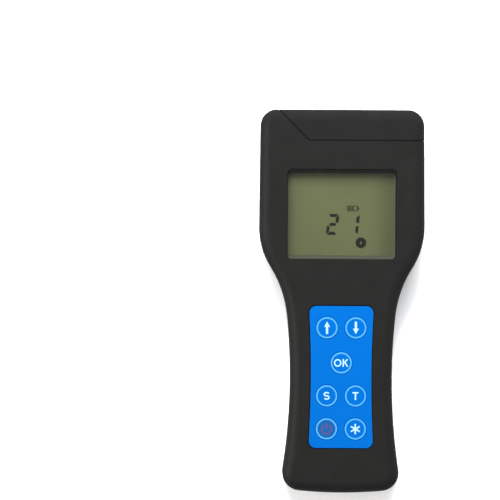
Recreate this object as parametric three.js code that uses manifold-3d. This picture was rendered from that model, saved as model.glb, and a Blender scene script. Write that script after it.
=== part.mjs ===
// Handheld grain moisture meter: a waisted two-shell case with a wide display head, a membrane
// keypad in the grip, two measuring pins under a push-on cap and a 9 V battery behind a sliding door.
// Millimetres. X is the width, +Y points to the probe end, +Z out of the face; the back lies on z = 0.

import * as THREE from 'three';
import { mergeVertices } from 'three/addons/utils/BufferGeometryUtils.js';
import Module from 'manifold-3d';

const wasm = await Module();
wasm.setup();

// ---------------------------------------------------------------------------------------------
// Driving dimensions
// ---------------------------------------------------------------------------------------------

// Case
const BODY_LENGTH = 210.5;
const BODY_DEPTH = 33;
const HEAD_WIDTH = 91;
const GRIP_WIDTH = 56;
const WALL = 2.4;
const PARTING_HEIGHT = 16;
const FRONT_EDGE_RADIUS = 6.5;
const REAR_EDGE_RADIUS = 7;
const MIN_EDGE_RADIUS = 0.2;

// Case outline, from the top centre round the right side: arc radii and angles in degrees
const TOP_CORNER_RADIUS = 9;
const HEAD_TAPER = 0.45;
const SHOULDER_RADIUS = 42;
const NECK_RADIUS = 62;
const WAIST_RADIUS = 327;
const WAIST_TOP_ANGLE = 6;
const BASE_FLARE_ANGLE = 8.85;
const BASE_CORNER_RADIUS = 10;
const BASE_BOW_ANGLE = 5.5;

// Clearances
const GAP = 0.3;
const STACK_GAP = 0.15;

// Probe cap, nose and pins
const CAP_LENGTH = 17;
const CAP_CORNER_OFFSET = 27.3;
const NOSE_REACH = 3.5;
const NOSE_DEPTH = 6;
const NOSE_WALL = 2;
const NOSE_RIB_HEIGHT = 1;
const NOSE_RIB_WIDTH = 1.2;
const NOSE_RIB_BACK = 3.9;
const NOSE_RIB_MARGIN = 12;
const PIN_SPACING = 20;
const PIN_OFFSET = 4.1;
const PIN_RADIUS = 1;
const PIN_REACH = 13.2;
const PIN_TAIL = 9;
const PIN_POINT_LENGTH = 2.4;
const INSULATOR_RADIUS = 3;
const INSULATOR_FLANGE_RADIUS = 4.2;
const INSULATOR_FLANGE = 1.2;
const PIN_BOSS_WALL = 1.5;
const NUT_RADIUS = 2.6;
const NUT_LENGTH = 1.8;

// Display window and what lies behind it
const WINDOW_SIDE_MARGIN = 15.5;
const WINDOW_TOP_MARGIN = 16;
const WINDOW_BELOW_SHOULDER = 17.85;
const WINDOW_CORNER_RADIUS = 2.5;
const LENS_MARGIN = 2;
const LENS_THICKNESS = 1.5;
const LENS_FRAME_WALL = 1.5;
const LENS_FRAME_HEIGHT = 2.3;
const GASKET_WIDTH = 1.7;
const GASKET_THICKNESS = 0.6;
const LCD_MARGIN = 3;
const LCD_THICKNESS = 2.8;
const LCD_FRAME_WALL = 1;
const LCD_FRAME_LIP = 0.55;
const BACKLIGHT_SIDE_MARGIN = 1;
const BACKLIGHT_THICKNESS = 3;
const ZEBRA_WIDTH = 2.2;

// Keypad
const KEYPAD_WIDTH = 35.4;
const KEYPAD_HEIGHT = 78.2;
const KEYPAD_RISE = 24.55;
const KEYPAD_CORNER_RADIUS = 4;
const KEYPAD_SIDE_LEAN = 3;
const KEYPAD_RECESS = 2.3;
const KEYPAD_BACKING = 2;
const KEYPAD_BACKING_MARGIN = 2;
const CIRCUIT_THICKNESS = 0.3;
const CIRCUIT_INSET = 1;
const SPACER_THICKNESS = 0.75;
const SPACER_HOLE_CLEARANCE = 0.6;
const OVERLAY_THICKNESS = 0.5;
const FILM_GAP = 0.1;
const KEY_RADIUS = 6;
const KEY_THICKNESS = 0.75;
const KEY_TRAVEL = 0.5;
const KEY_BELOW_FACE = 0.05;
const KEY_CHAMFER = 0.2;
const KEY_PITCH = 15.8;
const FIRST_KEY_DEPTH = 12.05;
const OK_KEY_PITCH = 19.25;
const KEY_ROW_PITCH = 18.1;
const DOME_RADIUS = 4.2;
const DOME_HEIGHT = 0.65;
const TAIL_WIDTH = 14;
const TAIL_THICKNESS = 0.25;
const TAIL_SLOT = 1.5;
const TAIL_SLOT_BACK = 3.2;

// Circuit board and its components
const BOARD_THICKNESS = 1.6;
const BOARD_INSET = WALL + 1;
const BOARD_ABOVE_WINDOW = 6;
const BOARD_BELOW_WINDOW = 15;
const LEAD_RADIUS = 0.6;

// Screws
const CASE_SCREW = { headRadius: 2.6, head: 2, shank: 1.3, length: 17, sides: 16 };
const BOARD_SCREW = { headRadius: 2.2, head: 1.6, shank: 1.1, length: 6, sides: 12 };
const SCREW_SINK = 4;
const SCREW_BOSS_WALL = 1.6;
const HEAD_SCREW_BACK = 11.25;
const BASE_SCREW_RISE = 15.25;
const BOARD_SCREW_SHIFT = 11;
const BOARD_BOSS_RADIUS = 2.4;
const PILOT_DEPTH = 7;

// Shell lip
const LIP_WALL = 1.2;
const LIP_HEIGHT = 2.5;
const LIP_ROOT = 3;

// Battery, its compartment and its door
const BATTERY = { width: 26.5, length: 46, depth: 17.5 };
const TERMINAL = { radius: 3, height: 2.6, offset: 6.35 };
const COMPARTMENT_WALL = 1.6;
const COMPARTMENT_SIDE_CLEARANCE = 0.75;
const COMPARTMENT_HEADROOM = 1.9;
const COMPARTMENT_RISE = 8.05;
const SNAP_ROOM = 8.75;
const SNAP = { width: 25, thickness: 4, depth: 12.5, socket: 4.2 };
const DOOR_WIDTH = 34;
const DOOR_TOP_MARGIN = 4;
const DOOR_PLATE = 1.9;
const DOOR_FLANGE = 2;
const DOOR_FLANGE_THICKNESS = 1.2;
const DECK_THICKNESS = 1.6;
const WIRE_NOTCH = { width: 12, low: 9, high: 17 };
const BATTERY_PAD = { width: 20, length: 30, thickness: 1.3 };

// Facets: how far a chord may lie inside its arc, and the sides of a small round
const FACET_SAG = 0.12;
const ROUND_SIDES = 20;
const EDGE_STEPS = 3;
const FAR = 400;
const MERGE_TOLERANCE = 1e-5;

// ---------------------------------------------------------------------------------------------
// Solids: three.js geometry in, joined and cut by manifold-3d, three.js geometry out
// ---------------------------------------------------------------------------------------------

const sin = (degrees) => Math.sin(THREE.MathUtils.degToRad(degrees));
const cos = (degrees) => Math.cos(THREE.MathUtils.degToRad(degrees));

function solid(geometry) {
  geometry.deleteAttribute('normal');
  geometry.deleteAttribute('uv');
  const merged = mergeVertices(geometry, MERGE_TOLERANCE);
  const index = merged.index.array;
  const corners = [];
  for (let i = 0; i < index.length; i += 3) {
    const [a, b, c] = index.slice(i, i + 3);
    if (a !== b && b !== c && c !== a) corners.push(a, b, c);
  }
  return new wasm.Manifold(new wasm.Mesh({
    numProp: 3,
    vertProperties: new Float32Array(merged.attributes.position.array),
    triVerts: new Uint32Array(corners),
  }));
}

function geometryOf(body) {
  const { vertProperties, triVerts } = body.getMesh();
  const geometry = new THREE.BufferGeometry();
  geometry.setAttribute('position', new THREE.BufferAttribute(vertProperties, 3));
  geometry.setIndex(new THREE.BufferAttribute(triVerts, 1));
  geometry.computeVertexNormals();
  return geometry;
}

function block([x0, x1], [y0, y1], [z0, z1]) {
  const geometry = new THREE.BoxGeometry(x1 - x0, y1 - y0, z1 - z0);
  return solid(geometry.translate((x0 + x1) / 2, (y0 + y1) / 2, (z0 + z1) / 2));
}

// A block given by its centre line in X and its width
function wideBlock(width, y, z, x = 0) {
  return block([x - width / 2, x + width / 2], y, z);
}

function post(x, y, [z0, z1], radius, sides = ROUND_SIDES) {
  const geometry = new THREE.CylinderGeometry(radius, radius, z1 - z0, sides);
  return solid(geometry.rotateX(Math.PI / 2).translate(x, y, (z0 + z1) / 2));
}

// A round bar along Y
function bar(x, [y0, y1], z, radius, sides = ROUND_SIDES) {
  const geometry = new THREE.CylinderGeometry(radius, radius, y1 - y0, sides);
  return solid(geometry.translate(x, (y0 + y1) / 2, z));
}

function slab(shape, [z0, z1]) {
  const geometry = new THREE.ExtrudeGeometry(shape, { depth: z1 - z0, bevelEnabled: false });
  return solid(geometry.translate(0, 0, z0));
}

function turned(profile, sides) {
  return solid(new THREE.LatheGeometry(profile.map(([r, h]) => new THREE.Vector2(r, h)), sides));
}

// A wire along a smooth curve through the points
function wire(points, radius) {
  const path = new THREE.CatmullRomCurve3(points.map((p) => new THREE.Vector3(...p)));
  const section = new THREE.Shape();
  section.absarc(0, 0, radius, 0, 2 * Math.PI);
  const steps = 4 * (points.length - 1);
  return solid(new THREE.ExtrudeGeometry(section, { steps, extrudePath: path, curveSegments: 4 }));
}

const joined = (bodies) => bodies.reduce((sum, body) => sum.add(body));
const cut = (body, tools) => tools.reduce((rest, tool) => rest.subtract(tool), body);

// ---------------------------------------------------------------------------------------------
// Outlines: the right half is walked from its top centre, heading +X, and mirrored
// ---------------------------------------------------------------------------------------------

// A leg is a straight, or an arc with its turn in degrees, positive to the right. An inset moves the
// whole outline inwards: arcs that turn right get tighter and arcs that turn left get wider.
function rightHalf(top, legs, inset) {
  const points = [];
  let position = new THREE.Vector2(0, top);
  let heading = 0;
  for (const leg of legs) {
    if (leg.straight !== undefined) {
      position.add(new THREE.Vector2(cos(heading), sin(heading)).multiplyScalar(leg.straight));
      continue;
    }
    const side = Math.sign(leg.turn);
    const toRight = (angle) => new THREE.Vector2(sin(angle), -cos(angle));
    const centre = position.clone().addScaledVector(toRight(heading), side * leg.radius);
    const stepAngle = 2 * Math.acos(1 - FACET_SAG / leg.radius);
    const steps = Math.ceil(THREE.MathUtils.degToRad(Math.abs(leg.turn)) / stepAngle);
    const radius = leg.radius - side * inset;
    for (let i = 0; i <= steps; i += 1) {
      const angle = heading - leg.turn * (i / steps);
      const point = centre.clone().addScaledVector(toRight(angle), -side * radius);
      const last = points.at(-1);
      if (!last || last.distanceTo(point) > MERGE_TOLERANCE) points.push(point);
    }
    heading -= leg.turn;
    position = centre.clone().addScaledVector(toRight(heading), -side * leg.radius);
  }
  return points;
}

function mirroredShape(top, legs, inset = 0) {
  const right = rightHalf(top, legs, inset);
  const left = right.filter((point) => point.x > MERGE_TOLERANCE).reverse();
  return new THREE.Shape([...right, ...left.map((point) => new THREE.Vector2(-point.x, point.y))]);
}

function roundedRectangle(width, [low, high], radius) {
  return mirroredShape(high, [
    { straight: width / 2 - radius },
    { radius, turn: 90 },
    { straight: high - low - 2 * radius },
    { radius, turn: 90 },
  ]);
}

// Case outline: the neck angle brings the shoulder and the neck down to the grip width
const waistDrop = (angle) => WAIST_RADIUS * (1 - cos(angle));
const neckAngle = THREE.MathUtils.radToDeg(Math.acos(
  (SHOULDER_RADIUS + NECK_RADIUS * cos(WAIST_TOP_ANGLE) + waistDrop(WAIST_TOP_ANGLE)
    - (HEAD_WIDTH - GRIP_WIDTH) / 2) / (SHOULDER_RADIUS + NECK_RADIUS)));
const baseCornerX = GRIP_WIDTH / 2 + waistDrop(BASE_FLARE_ANGLE)
  - BASE_CORNER_RADIUS * cos(BASE_FLARE_ANGLE);
const baseBowRadius = baseCornerX / sin(BASE_BOW_ANGLE) + BASE_CORNER_RADIUS;
const bodyTop = BODY_LENGTH / 2;
const bodyBottom = -BODY_LENGTH / 2;
const shoulderY = bodyBottom
  + SHOULDER_RADIUS * sin(neckAngle)
  + NECK_RADIUS * (sin(neckAngle) - sin(WAIST_TOP_ANGLE))
  + WAIST_RADIUS * (sin(WAIST_TOP_ANGLE) + sin(BASE_FLARE_ANGLE))
  + BASE_CORNER_RADIUS * (sin(BASE_FLARE_ANGLE) + cos(BASE_BOW_ANGLE))
  + baseBowRadius * (1 - cos(BASE_BOW_ANGLE));
const headSideLength = (bodyTop - TOP_CORNER_RADIUS * (1 - sin(HEAD_TAPER))
  - shoulderY - SHOULDER_RADIUS * sin(HEAD_TAPER)) / cos(HEAD_TAPER);
const topCornerX = HEAD_WIDTH / 2 - SHOULDER_RADIUS * (1 - cos(HEAD_TAPER))
  - headSideLength * sin(HEAD_TAPER) - TOP_CORNER_RADIUS * cos(HEAD_TAPER);

const BODY_LEGS = [
  { straight: topCornerX },
  { radius: TOP_CORNER_RADIUS, turn: 90 - HEAD_TAPER },
  { straight: headSideLength },
  { radius: SHOULDER_RADIUS, turn: neckAngle + HEAD_TAPER },
  { radius: NECK_RADIUS, turn: WAIST_TOP_ANGLE - neckAngle },
  { radius: WAIST_RADIUS, turn: -(WAIST_TOP_ANGLE + BASE_FLARE_ANGLE) },
  { radius: BASE_CORNER_RADIUS, turn: 90 + BASE_FLARE_ANGLE - BASE_BOW_ANGLE },
  { radius: baseBowRadius, turn: BASE_BOW_ANGLE },
];

const bodyShape = (inset) => mirroredShape(bodyTop, BODY_LEGS, inset);

function halfWidthAt(y) {
  const points = rightHalf(bodyTop, BODY_LEGS, 0);
  const below = points.findIndex((point, i) => i > 0 && point.y <= y);
  const [a, b] = [points[below - 1], points[below]];
  return a.x + (b.x - a.x) * (a.y - y) / (a.y - b.y);
}

// Keypad outline: its long sides are bowed inwards by one wide arc
const keypadTop = bodyBottom + KEYPAD_RISE + KEYPAD_HEIGHT;
const keypadBottom = keypadTop - KEYPAD_HEIGHT;
const keypadSideRadius = (KEYPAD_HEIGHT / 2 - KEYPAD_CORNER_RADIUS * (1 + sin(KEYPAD_SIDE_LEAN)))
  / sin(KEYPAD_SIDE_LEAN);

function keypadShape(inset) {
  const corner = { radius: KEYPAD_CORNER_RADIUS, turn: 90 + KEYPAD_SIDE_LEAN };
  return mirroredShape(keypadTop, [
    { straight: KEYPAD_WIDTH / 2 - KEYPAD_CORNER_RADIUS },
    corner,
    { radius: keypadSideRadius, turn: -2 * KEYPAD_SIDE_LEAN },
    corner,
  ], inset);
}

// ---------------------------------------------------------------------------------------------
// Case: one rounded block for both shells and the cap, inset for its hollow
// ---------------------------------------------------------------------------------------------

function edgeBlock(inset, edgeRadius) {
  const bevel = Math.max(edgeRadius - inset, MIN_EDGE_RADIUS);
  const geometry = new THREE.ExtrudeGeometry(bodyShape(inset), {
    depth: BODY_DEPTH - 2 * (inset + bevel),
    bevelThickness: bevel,
    bevelSize: bevel,
    bevelOffset: -bevel,
    bevelSegments: EDGE_STEPS,
  });
  return solid(geometry.translate(0, 0, inset + bevel));
}

const everywhere = [-FAR, FAR];
const above = (z) => block(everywhere, everywhere, [z, FAR]);
const below = (z) => block(everywhere, everywhere, [-FAR, z]);

function caseBlock(inset) {
  const front = edgeBlock(inset, FRONT_EDGE_RADIUS).intersect(above(PARTING_HEIGHT - WALL));
  const rear = edgeBlock(inset, REAR_EDGE_RADIUS).intersect(below(PARTING_HEIGHT + WALL));
  return front.add(rear);
}

// Everything on the cap's side of the seam: the seam runs square across the head and turns up at 45
// degrees near the left corner. grow moves it into the body.
const seamY = bodyTop - CAP_LENGTH;
const seamCornerX = CAP_CORNER_OFFSET - HEAD_WIDTH / 2;
const mouthLeft = seamCornerX + (WALL + GAP / 2) * Math.SQRT2;

function capRegion(grow) {
  const corner = new THREE.Vector2(seamCornerX - grow * (Math.SQRT2 - 1), seamY - grow);
  return slab(new THREE.Shape([
    corner,
    new THREE.Vector2(FAR, corner.y),
    new THREE.Vector2(FAR, FAR),
    new THREE.Vector2(corner.x - FAR + corner.y, FAR),
  ]), everywhere);
}

const outerCase = caseBlock(0);
const innerCase = caseBlock(WALL);
const mouth = block([mouthLeft, FAR], [seamY - WALL - 1, seamY + 1], everywhere);
const cavity = innerCase.subtract(capRegion(WALL + GAP / 2)).add(innerCase.intersect(mouth));

// ---------------------------------------------------------------------------------------------
// Heights of the layers behind the window and in the keypad recess
// ---------------------------------------------------------------------------------------------

function layerBelow(top, thickness) {
  return [top - STACK_GAP - thickness, top - STACK_GAP];
}

function layerAbove(bottom, gap, thickness) {
  return [bottom + gap, bottom + gap + thickness];
}

const faceInner = BODY_DEPTH - WALL;
const lensZ = layerBelow(faceInner, LENS_THICKNESS);
const gasketZ = layerBelow(lensZ[0], GASKET_THICKNESS);
const lcdZ = layerBelow(gasketZ[0], LCD_THICKNESS);
const backlightZ = layerBelow(lcdZ[0], BACKLIGHT_THICKNESS);
const boardZ = layerBelow(backlightZ[0], BOARD_THICKNESS);

const recessFloor = BODY_DEPTH - KEYPAD_RECESS;
const circuitZ = layerAbove(recessFloor, GAP, CIRCUIT_THICKNESS);
const spacerZ = layerAbove(circuitZ[1], FILM_GAP, SPACER_THICKNESS);
const overlayZ = layerAbove(spacerZ[1], FILM_GAP, OVERLAY_THICKNESS);
const keyTop = BODY_DEPTH - KEY_BELOW_FACE;

// Window and board extents
const windowWidth = HEAD_WIDTH - 2 * WINDOW_SIDE_MARGIN;
const windowTop = seamY - WINDOW_TOP_MARGIN;
const windowY = [shoulderY - WINDOW_BELOW_SHOULDER, windowTop];
const windowMiddle = (windowY[0] + windowY[1]) / 2;
const boardY = [windowY[0] - BOARD_BELOW_WINDOW, windowTop + BOARD_ABOVE_WINDOW];
const grown = ([low, high], by) => [low - by, high + by];

// ---------------------------------------------------------------------------------------------
// Screws and their places
// ---------------------------------------------------------------------------------------------

const headScrewY = seamY - HEAD_SCREW_BACK;
const baseScrewY = bodyBottom + BASE_SCREW_RISE;
const bossRadius = CASE_SCREW.shank + GAP + SCREW_BOSS_WALL;
const bothSides = (x, y) => [{ x: -x, y }, { x, y }];
const lcdWidth = windowWidth + 2 * LCD_MARGIN;
const lcdFrameWidth = lcdWidth + 2 * (GAP + LCD_FRAME_WALL);
const trackWidth = DOOR_WIDTH + 2 * (DOOR_FLANGE + GAP);
const caseScrewPlaces = [
  ...bothSides(lcdFrameWidth / 2 + GAP + bossRadius, headScrewY),
  ...bothSides(trackWidth / 2 + COMPARTMENT_WALL + GAP + bossRadius, baseScrewY),
];
const boardScrewInset = WALL + GAP + LIP_WALL + GAP + BOARD_SCREW.headRadius;
const boardScrewPlaces = grown(windowY, -BOARD_SCREW_SHIFT).flatMap(
  (y) => bothSides(halfWidthAt(y) - boardScrewInset, y));

const posts = (places, z, radius) => joined(places.map(({ x, y }) => post(x, y, z, radius)));

// Head at the bottom with a cross recess, shank up +Z, pointed
function screwSolid({ headRadius, head, shank, length, sides }) {
  const top = head + length;
  const body = turned([
    [0, 0], [headRadius, 0], [headRadius, head], [shank, head], [shank, top - shank], [0, top],
  ], sides).rotate([90, 0, 0]);
  const slotWidth = shank / 2;
  const slotLength = headRadius * 1.2;
  const recess = [-head / 4, head / 2];
  return cut(body, [
    wideBlock(slotWidth, [-slotLength / 2, slotLength / 2], recess),
    wideBlock(slotLength, [-slotWidth / 2, slotWidth / 2], recess),
  ]);
}

// ---------------------------------------------------------------------------------------------
// Front shell
// ---------------------------------------------------------------------------------------------

const frontFloor = PARTING_HEIGHT + GAP / 2;
const lensWidth = windowWidth + 2 * LENS_MARGIN;
const lensY = grown(windowY, LENS_MARGIN);
const tailSlotY = [keypadTop - TAIL_SLOT_BACK - TAIL_SLOT, keypadTop - TAIL_SLOT_BACK];
const noseRibX = [mouthLeft + NOSE_RIB_MARGIN / 4, HEAD_WIDTH / 2 - NOSE_RIB_MARGIN];
const noseRibY = [seamY - NOSE_RIB_BACK - NOSE_RIB_WIDTH, seamY - NOSE_RIB_BACK];

function lensFrame() {
  const inner = lensWidth + 2 * GAP;
  const innerY = grown(lensY, GAP);
  const z = [faceInner - LENS_FRAME_HEIGHT, faceInner + WALL / 2];
  return wideBlock(inner + 2 * LENS_FRAME_WALL, grown(innerY, LENS_FRAME_WALL), z)
    .subtract(wideBlock(inner, innerY, grown(z, 1)));
}

function frontShell() {
  const skin = outerCase.intersect(above(frontFloor)).subtract(cavity).subtract(capRegion(GAP / 2));
  const backing = slab(keypadShape(-GAP - KEYPAD_BACKING_MARGIN),
    [recessFloor - KEYPAD_BACKING, faceInner + WALL / 2]);
  const bosses = posts(caseScrewPlaces, [frontFloor, faceInner + WALL / 2], bossRadius);
  const boardBosses = posts(boardScrewPlaces, [boardZ[1] + STACK_GAP, faceInner + WALL / 2],
    BOARD_BOSS_RADIUS);
  const rib = block(noseRibX, noseRibY, [faceInner - NOSE_RIB_HEIGHT, faceInner + WALL / 2]);
  const pilot = CASE_SCREW.shank + GAP;
  return cut(joined([skin, lensFrame().intersect(outerCase), backing, bosses, boardBosses, rib]), [
    slab(roundedRectangle(windowWidth, windowY, WINDOW_CORNER_RADIUS), [faceInner - 1, BODY_DEPTH + 1]),
    slab(keypadShape(-GAP), [recessFloor, BODY_DEPTH + 1]),
    wideBlock(TAIL_WIDTH + 1, tailSlotY, [recessFloor - KEYPAD_BACKING - 1, recessFloor + 1]),
    posts(caseScrewPlaces, [frontFloor - 1, frontFloor + PILOT_DEPTH], pilot),
    posts(boardScrewPlaces, [boardZ[1], boardZ[1] + PILOT_DEPTH - 1], BOARD_SCREW.shank + GAP),
  ]);
}

// ---------------------------------------------------------------------------------------------
// Rear shell, with the battery compartment and the track for the door
// ---------------------------------------------------------------------------------------------

const doorThickness = WALL + GAP + DOOR_FLANGE_THICKNESS;
const deckZ = [doorThickness + GAP, doorThickness + GAP + DECK_THICKNESS];
const batteryZ = [deckZ[0] + GAP, deckZ[0] + GAP + BATTERY.depth];
const compartmentWidth = BATTERY.width + 2 * COMPARTMENT_SIDE_CLEARANCE;
const compartmentBottom = bodyBottom + COMPARTMENT_RISE;
const batteryBottom = compartmentBottom + GAP + STACK_GAP;
const batteryTop = batteryBottom + BATTERY.length;
const compartmentY = [compartmentBottom, batteryTop + SNAP_ROOM];
const compartmentCeiling = batteryZ[1] + COMPARTMENT_HEADROOM;
const doorTop = compartmentY[1] + DOOR_TOP_MARGIN;
const rearTop = PARTING_HEIGHT - GAP / 2;

function shellLip() {
  const lipInner = bodyShape(WALL + GAP + LIP_WALL);
  const lip = slab(bodyShape(WALL + GAP), [PARTING_HEIGHT - LIP_ROOT, PARTING_HEIGHT + LIP_HEIGHT]);
  const root = slab(bodyShape(WALL / 2), [PARTING_HEIGHT - LIP_ROOT, rearTop]);
  return cut(lip.add(root), [
    slab(lipInner, everywhere),
    posts(caseScrewPlaces, [PARTING_HEIGHT - GAP, FAR], bossRadius + GAP),
    block(everywhere, [headScrewY - 2 * bossRadius, FAR], everywhere),
  ]);
}

function doorTrack() {
  const end = doorTop + GAP + COMPARTMENT_WALL;
  const width = trackWidth + 2 * COMPARTMENT_WALL;
  const hollow = wideBlock(trackWidth, [-FAR, doorTop + GAP], [WALL - 1, deckZ[0]]);
  return wideBlock(width, [bodyBottom, end], [WALL / 2, deckZ[1]])
    .intersect(caseBlock(WALL / 2))
    .subtract(hollow);
}

function batteryCompartment() {
  const outerY = grown(compartmentY, COMPARTMENT_WALL);
  return wideBlock(compartmentWidth + 2 * COMPARTMENT_WALL, outerY,
    [deckZ[0], compartmentCeiling + COMPARTMENT_WALL]);
}

function rearShell() {
  const skin = outerCase.intersect(below(rearTop)).subtract(cavity).subtract(capRegion(GAP / 2));
  const bosses = posts(caseScrewPlaces, [0, rearTop], bossRadius).intersect(outerCase);
  const rib = block(noseRibX, noseRibY, [WALL / 2, WALL + NOSE_RIB_HEIGHT]);
  const pieces = [skin, shellLip(), bosses, rib, doorTrack(), batteryCompartment()];
  return cut(joined(pieces), [
    wideBlock(DOOR_WIDTH + 2 * GAP, [-FAR, doorTop + GAP], [-1, deckZ[0]]),
    wideBlock(trackWidth, [-FAR, doorTop + GAP], [WALL, deckZ[0]]),
    wideBlock(compartmentWidth, compartmentY, [0, compartmentCeiling]),
    wideBlock(WIRE_NOTCH.width, grown([compartmentY[1], compartmentY[1] + COMPARTMENT_WALL], 1),
      [WIRE_NOTCH.low, WIRE_NOTCH.high]),
    posts(caseScrewPlaces, [-1, SCREW_SINK], CASE_SCREW.headRadius + GAP),
    posts(caseScrewPlaces, [-1, FAR], CASE_SCREW.shank + GAP),
  ]);
}

function batteryDoor() {
  const plate = wideBlock(DOOR_WIDTH, [-FAR, doorTop], [0, doorThickness]);
  const flanges = wideBlock(DOOR_WIDTH + 2 * DOOR_FLANGE, [-FAR, doorTop],
    [doorThickness - DOOR_FLANGE_THICKNESS, doorThickness]);
  const pocket = wideBlock(compartmentWidth + 1, compartmentY, [GAP + DOOR_PLATE, FAR]);
  return plate.add(flanges).intersect(caseBlock(GAP)).subtract(pocket);
}

// ---------------------------------------------------------------------------------------------
// Probe: cap, nose, pins
// ---------------------------------------------------------------------------------------------

const pinZ = BODY_DEPTH / 2;
const pinXs = [mouthLeft + PIN_OFFSET, mouthLeft + PIN_OFFSET + PIN_SPACING];
const pinMiddle = (pinXs[0] + pinXs[1]) / 2;
const noseY = [seamY - NOSE_DEPTH, seamY + NOSE_REACH];

function probeCap() {
  const pocket = slab(new THREE.Shape([
    new THREE.Vector2(mouthLeft, seamY - WALL),
    new THREE.Vector2(FAR, seamY - WALL),
    new THREE.Vector2(FAR, FAR),
    new THREE.Vector2(mouthLeft - FAR + seamY, FAR),
    new THREE.Vector2(mouthLeft, seamY),
  ]), everywhere);
  return outerCase.intersect(capRegion(-GAP / 2)).subtract(pocket.intersect(innerCase));
}

function probeNose() {
  const left = mouthLeft + GAP;
  const body = caseBlock(WALL + GAP).intersect(block([left, FAR], noseY, everywhere));
  const hollow = caseBlock(WALL + GAP + NOSE_WALL)
    .intersect(block([left + NOSE_WALL, FAR], [noseY[0] - 1, noseY[1] - NOSE_WALL], everywhere));
  const bore = INSULATOR_RADIUS + GAP;
  const bossY = [noseY[0], noseY[1] - NOSE_WALL / 2];
  const bosses = pinXs.map((x) => bar(x, bossY, pinZ, bore + PIN_BOSS_WALL));
  const grooveX = grown(noseRibX, GAP);
  const grooveY = grown(noseRibY, GAP);
  const grooveDepth = WALL + GAP + NOSE_RIB_HEIGHT;
  const shellOfNose = joined([body.subtract(hollow), ...bosses.map((boss) => boss.intersect(body))]);
  return cut(shellOfNose, [
    ...pinXs.map((x) => bar(x, grown(noseY, 1), pinZ, bore)),
    block(grooveX, grooveY, [BODY_DEPTH - grooveDepth, FAR]),
    block(grooveX, grooveY, [-FAR, grooveDepth]),
  ]);
}

// Along +Y from the seam: a sleeve through the nose with a flange on its outside
function pinInsulator() {
  const bore = PIN_RADIUS + GAP;
  const flangeLow = NOSE_REACH + GAP / 2;
  const tail = -NOSE_DEPTH - INSULATOR_FLANGE;
  return turned([
    [bore, tail], [INSULATOR_RADIUS, tail], [INSULATOR_RADIUS, flangeLow],
    [INSULATOR_FLANGE_RADIUS, flangeLow], [INSULATOR_FLANGE_RADIUS, flangeLow + INSULATOR_FLANGE],
    [bore, flangeLow + INSULATOR_FLANGE], [bore, tail],
  ], ROUND_SIDES);
}

function probePin() {
  return turned([
    [0, -PIN_TAIL], [PIN_RADIUS, -PIN_TAIL], [PIN_RADIUS, PIN_REACH - PIN_POINT_LENGTH], [0, PIN_REACH],
  ], ROUND_SIDES);
}

function pinNut() {
  const bore = PIN_RADIUS + GAP / 2;
  const tail = -NOSE_DEPTH - INSULATOR_FLANGE - GAP - NUT_LENGTH;
  return turned([
    [bore, tail], [NUT_RADIUS, tail], [NUT_RADIUS, tail + NUT_LENGTH], [bore, tail + NUT_LENGTH],
    [bore, tail],
  ], 6);
}

// ---------------------------------------------------------------------------------------------
// Display
// ---------------------------------------------------------------------------------------------

function displayWindow() {
  return slab(roundedRectangle(lensWidth, lensY, WINDOW_CORNER_RADIUS), lensZ);
}

function displayGasket() {
  const inner = roundedRectangle(lensWidth - 2 * GASKET_WIDTH, grown(lensY, -GASKET_WIDTH), 1);
  return slab(roundedRectangle(lensWidth, lensY, WINDOW_CORNER_RADIUS), gasketZ)
    .subtract(slab(inner, everywhere));
}

const lcdY = grown(windowY, LCD_MARGIN);

function lcdFrame() {
  const inner = lcdWidth + 2 * GAP;
  const innerY = grown(lcdY, GAP);
  const z = [backlightZ[0], lcdZ[1] - LCD_FRAME_LIP];
  return wideBlock(lcdFrameWidth, grown(innerY, LCD_FRAME_WALL), z)
    .subtract(wideBlock(inner, innerY, everywhere));
}

function backlightPanel() {
  return wideBlock(windowWidth + 2 * BACKLIGHT_SIDE_MARGIN, windowY, backlightZ);
}

// A contact strip between the glass and the board, outside the backlight
function zebraStrip() {
  return wideBlock(windowWidth, [-ZEBRA_WIDTH / 2, ZEBRA_WIDTH / 2], backlightZ);
}

// ---------------------------------------------------------------------------------------------
// Keypad
// ---------------------------------------------------------------------------------------------

const arrowKeyY = keypadTop - FIRST_KEY_DEPTH;
const keyRow = (row) => arrowKeyY - OK_KEY_PITCH - row * KEY_ROW_PITCH;
const KEYS = [
  { name: 'up', x: -KEY_PITCH / 2, y: arrowKeyY },
  { name: 'down', x: KEY_PITCH / 2, y: arrowKeyY },
  { name: 'ok', x: 0, y: keyRow(0) },
  { name: 's', x: -KEY_PITCH / 2, y: keyRow(1) },
  { name: 't', x: KEY_PITCH / 2, y: keyRow(1) },
  { name: 'power', x: -KEY_PITCH / 2, y: keyRow(2) },
  { name: 'star', x: KEY_PITCH / 2, y: keyRow(2) },
];

function keypadLayer(inset, z, holeRadius) {
  const shape = keypadShape(inset);
  if (holeRadius) {
    for (const { x, y } of KEYS) {
      const circle = new THREE.EllipseCurve(x, y, holeRadius, holeRadius, 0, 2 * Math.PI);
      shape.holes.push(new THREE.Path(circle.getPoints(ROUND_SIDES).slice(1)));
    }
  }
  return slab(shape, z);
}

function keySolid() {
  const rim = KEY_RADIUS - KEY_CHAMFER;
  return turned([
    [0, -KEY_THICKNESS], [KEY_RADIUS, -KEY_THICKNESS], [KEY_RADIUS, -KEY_CHAMFER], [rim, 0], [0, 0],
  ], ROUND_SIDES).rotate([90, 0, 0]);
}

// A snap dome: a shallow cap standing on the circuit film
function domeSolid() {
  return turned([
    [0, 0], [DOME_RADIUS, 0], [DOME_RADIUS, DOME_HEIGHT / 4], [DOME_RADIUS * 0.6, DOME_HEIGHT * 0.8],
    [0, DOME_HEIGHT],
  ], 16).rotate([90, 0, 0]);
}

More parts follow.
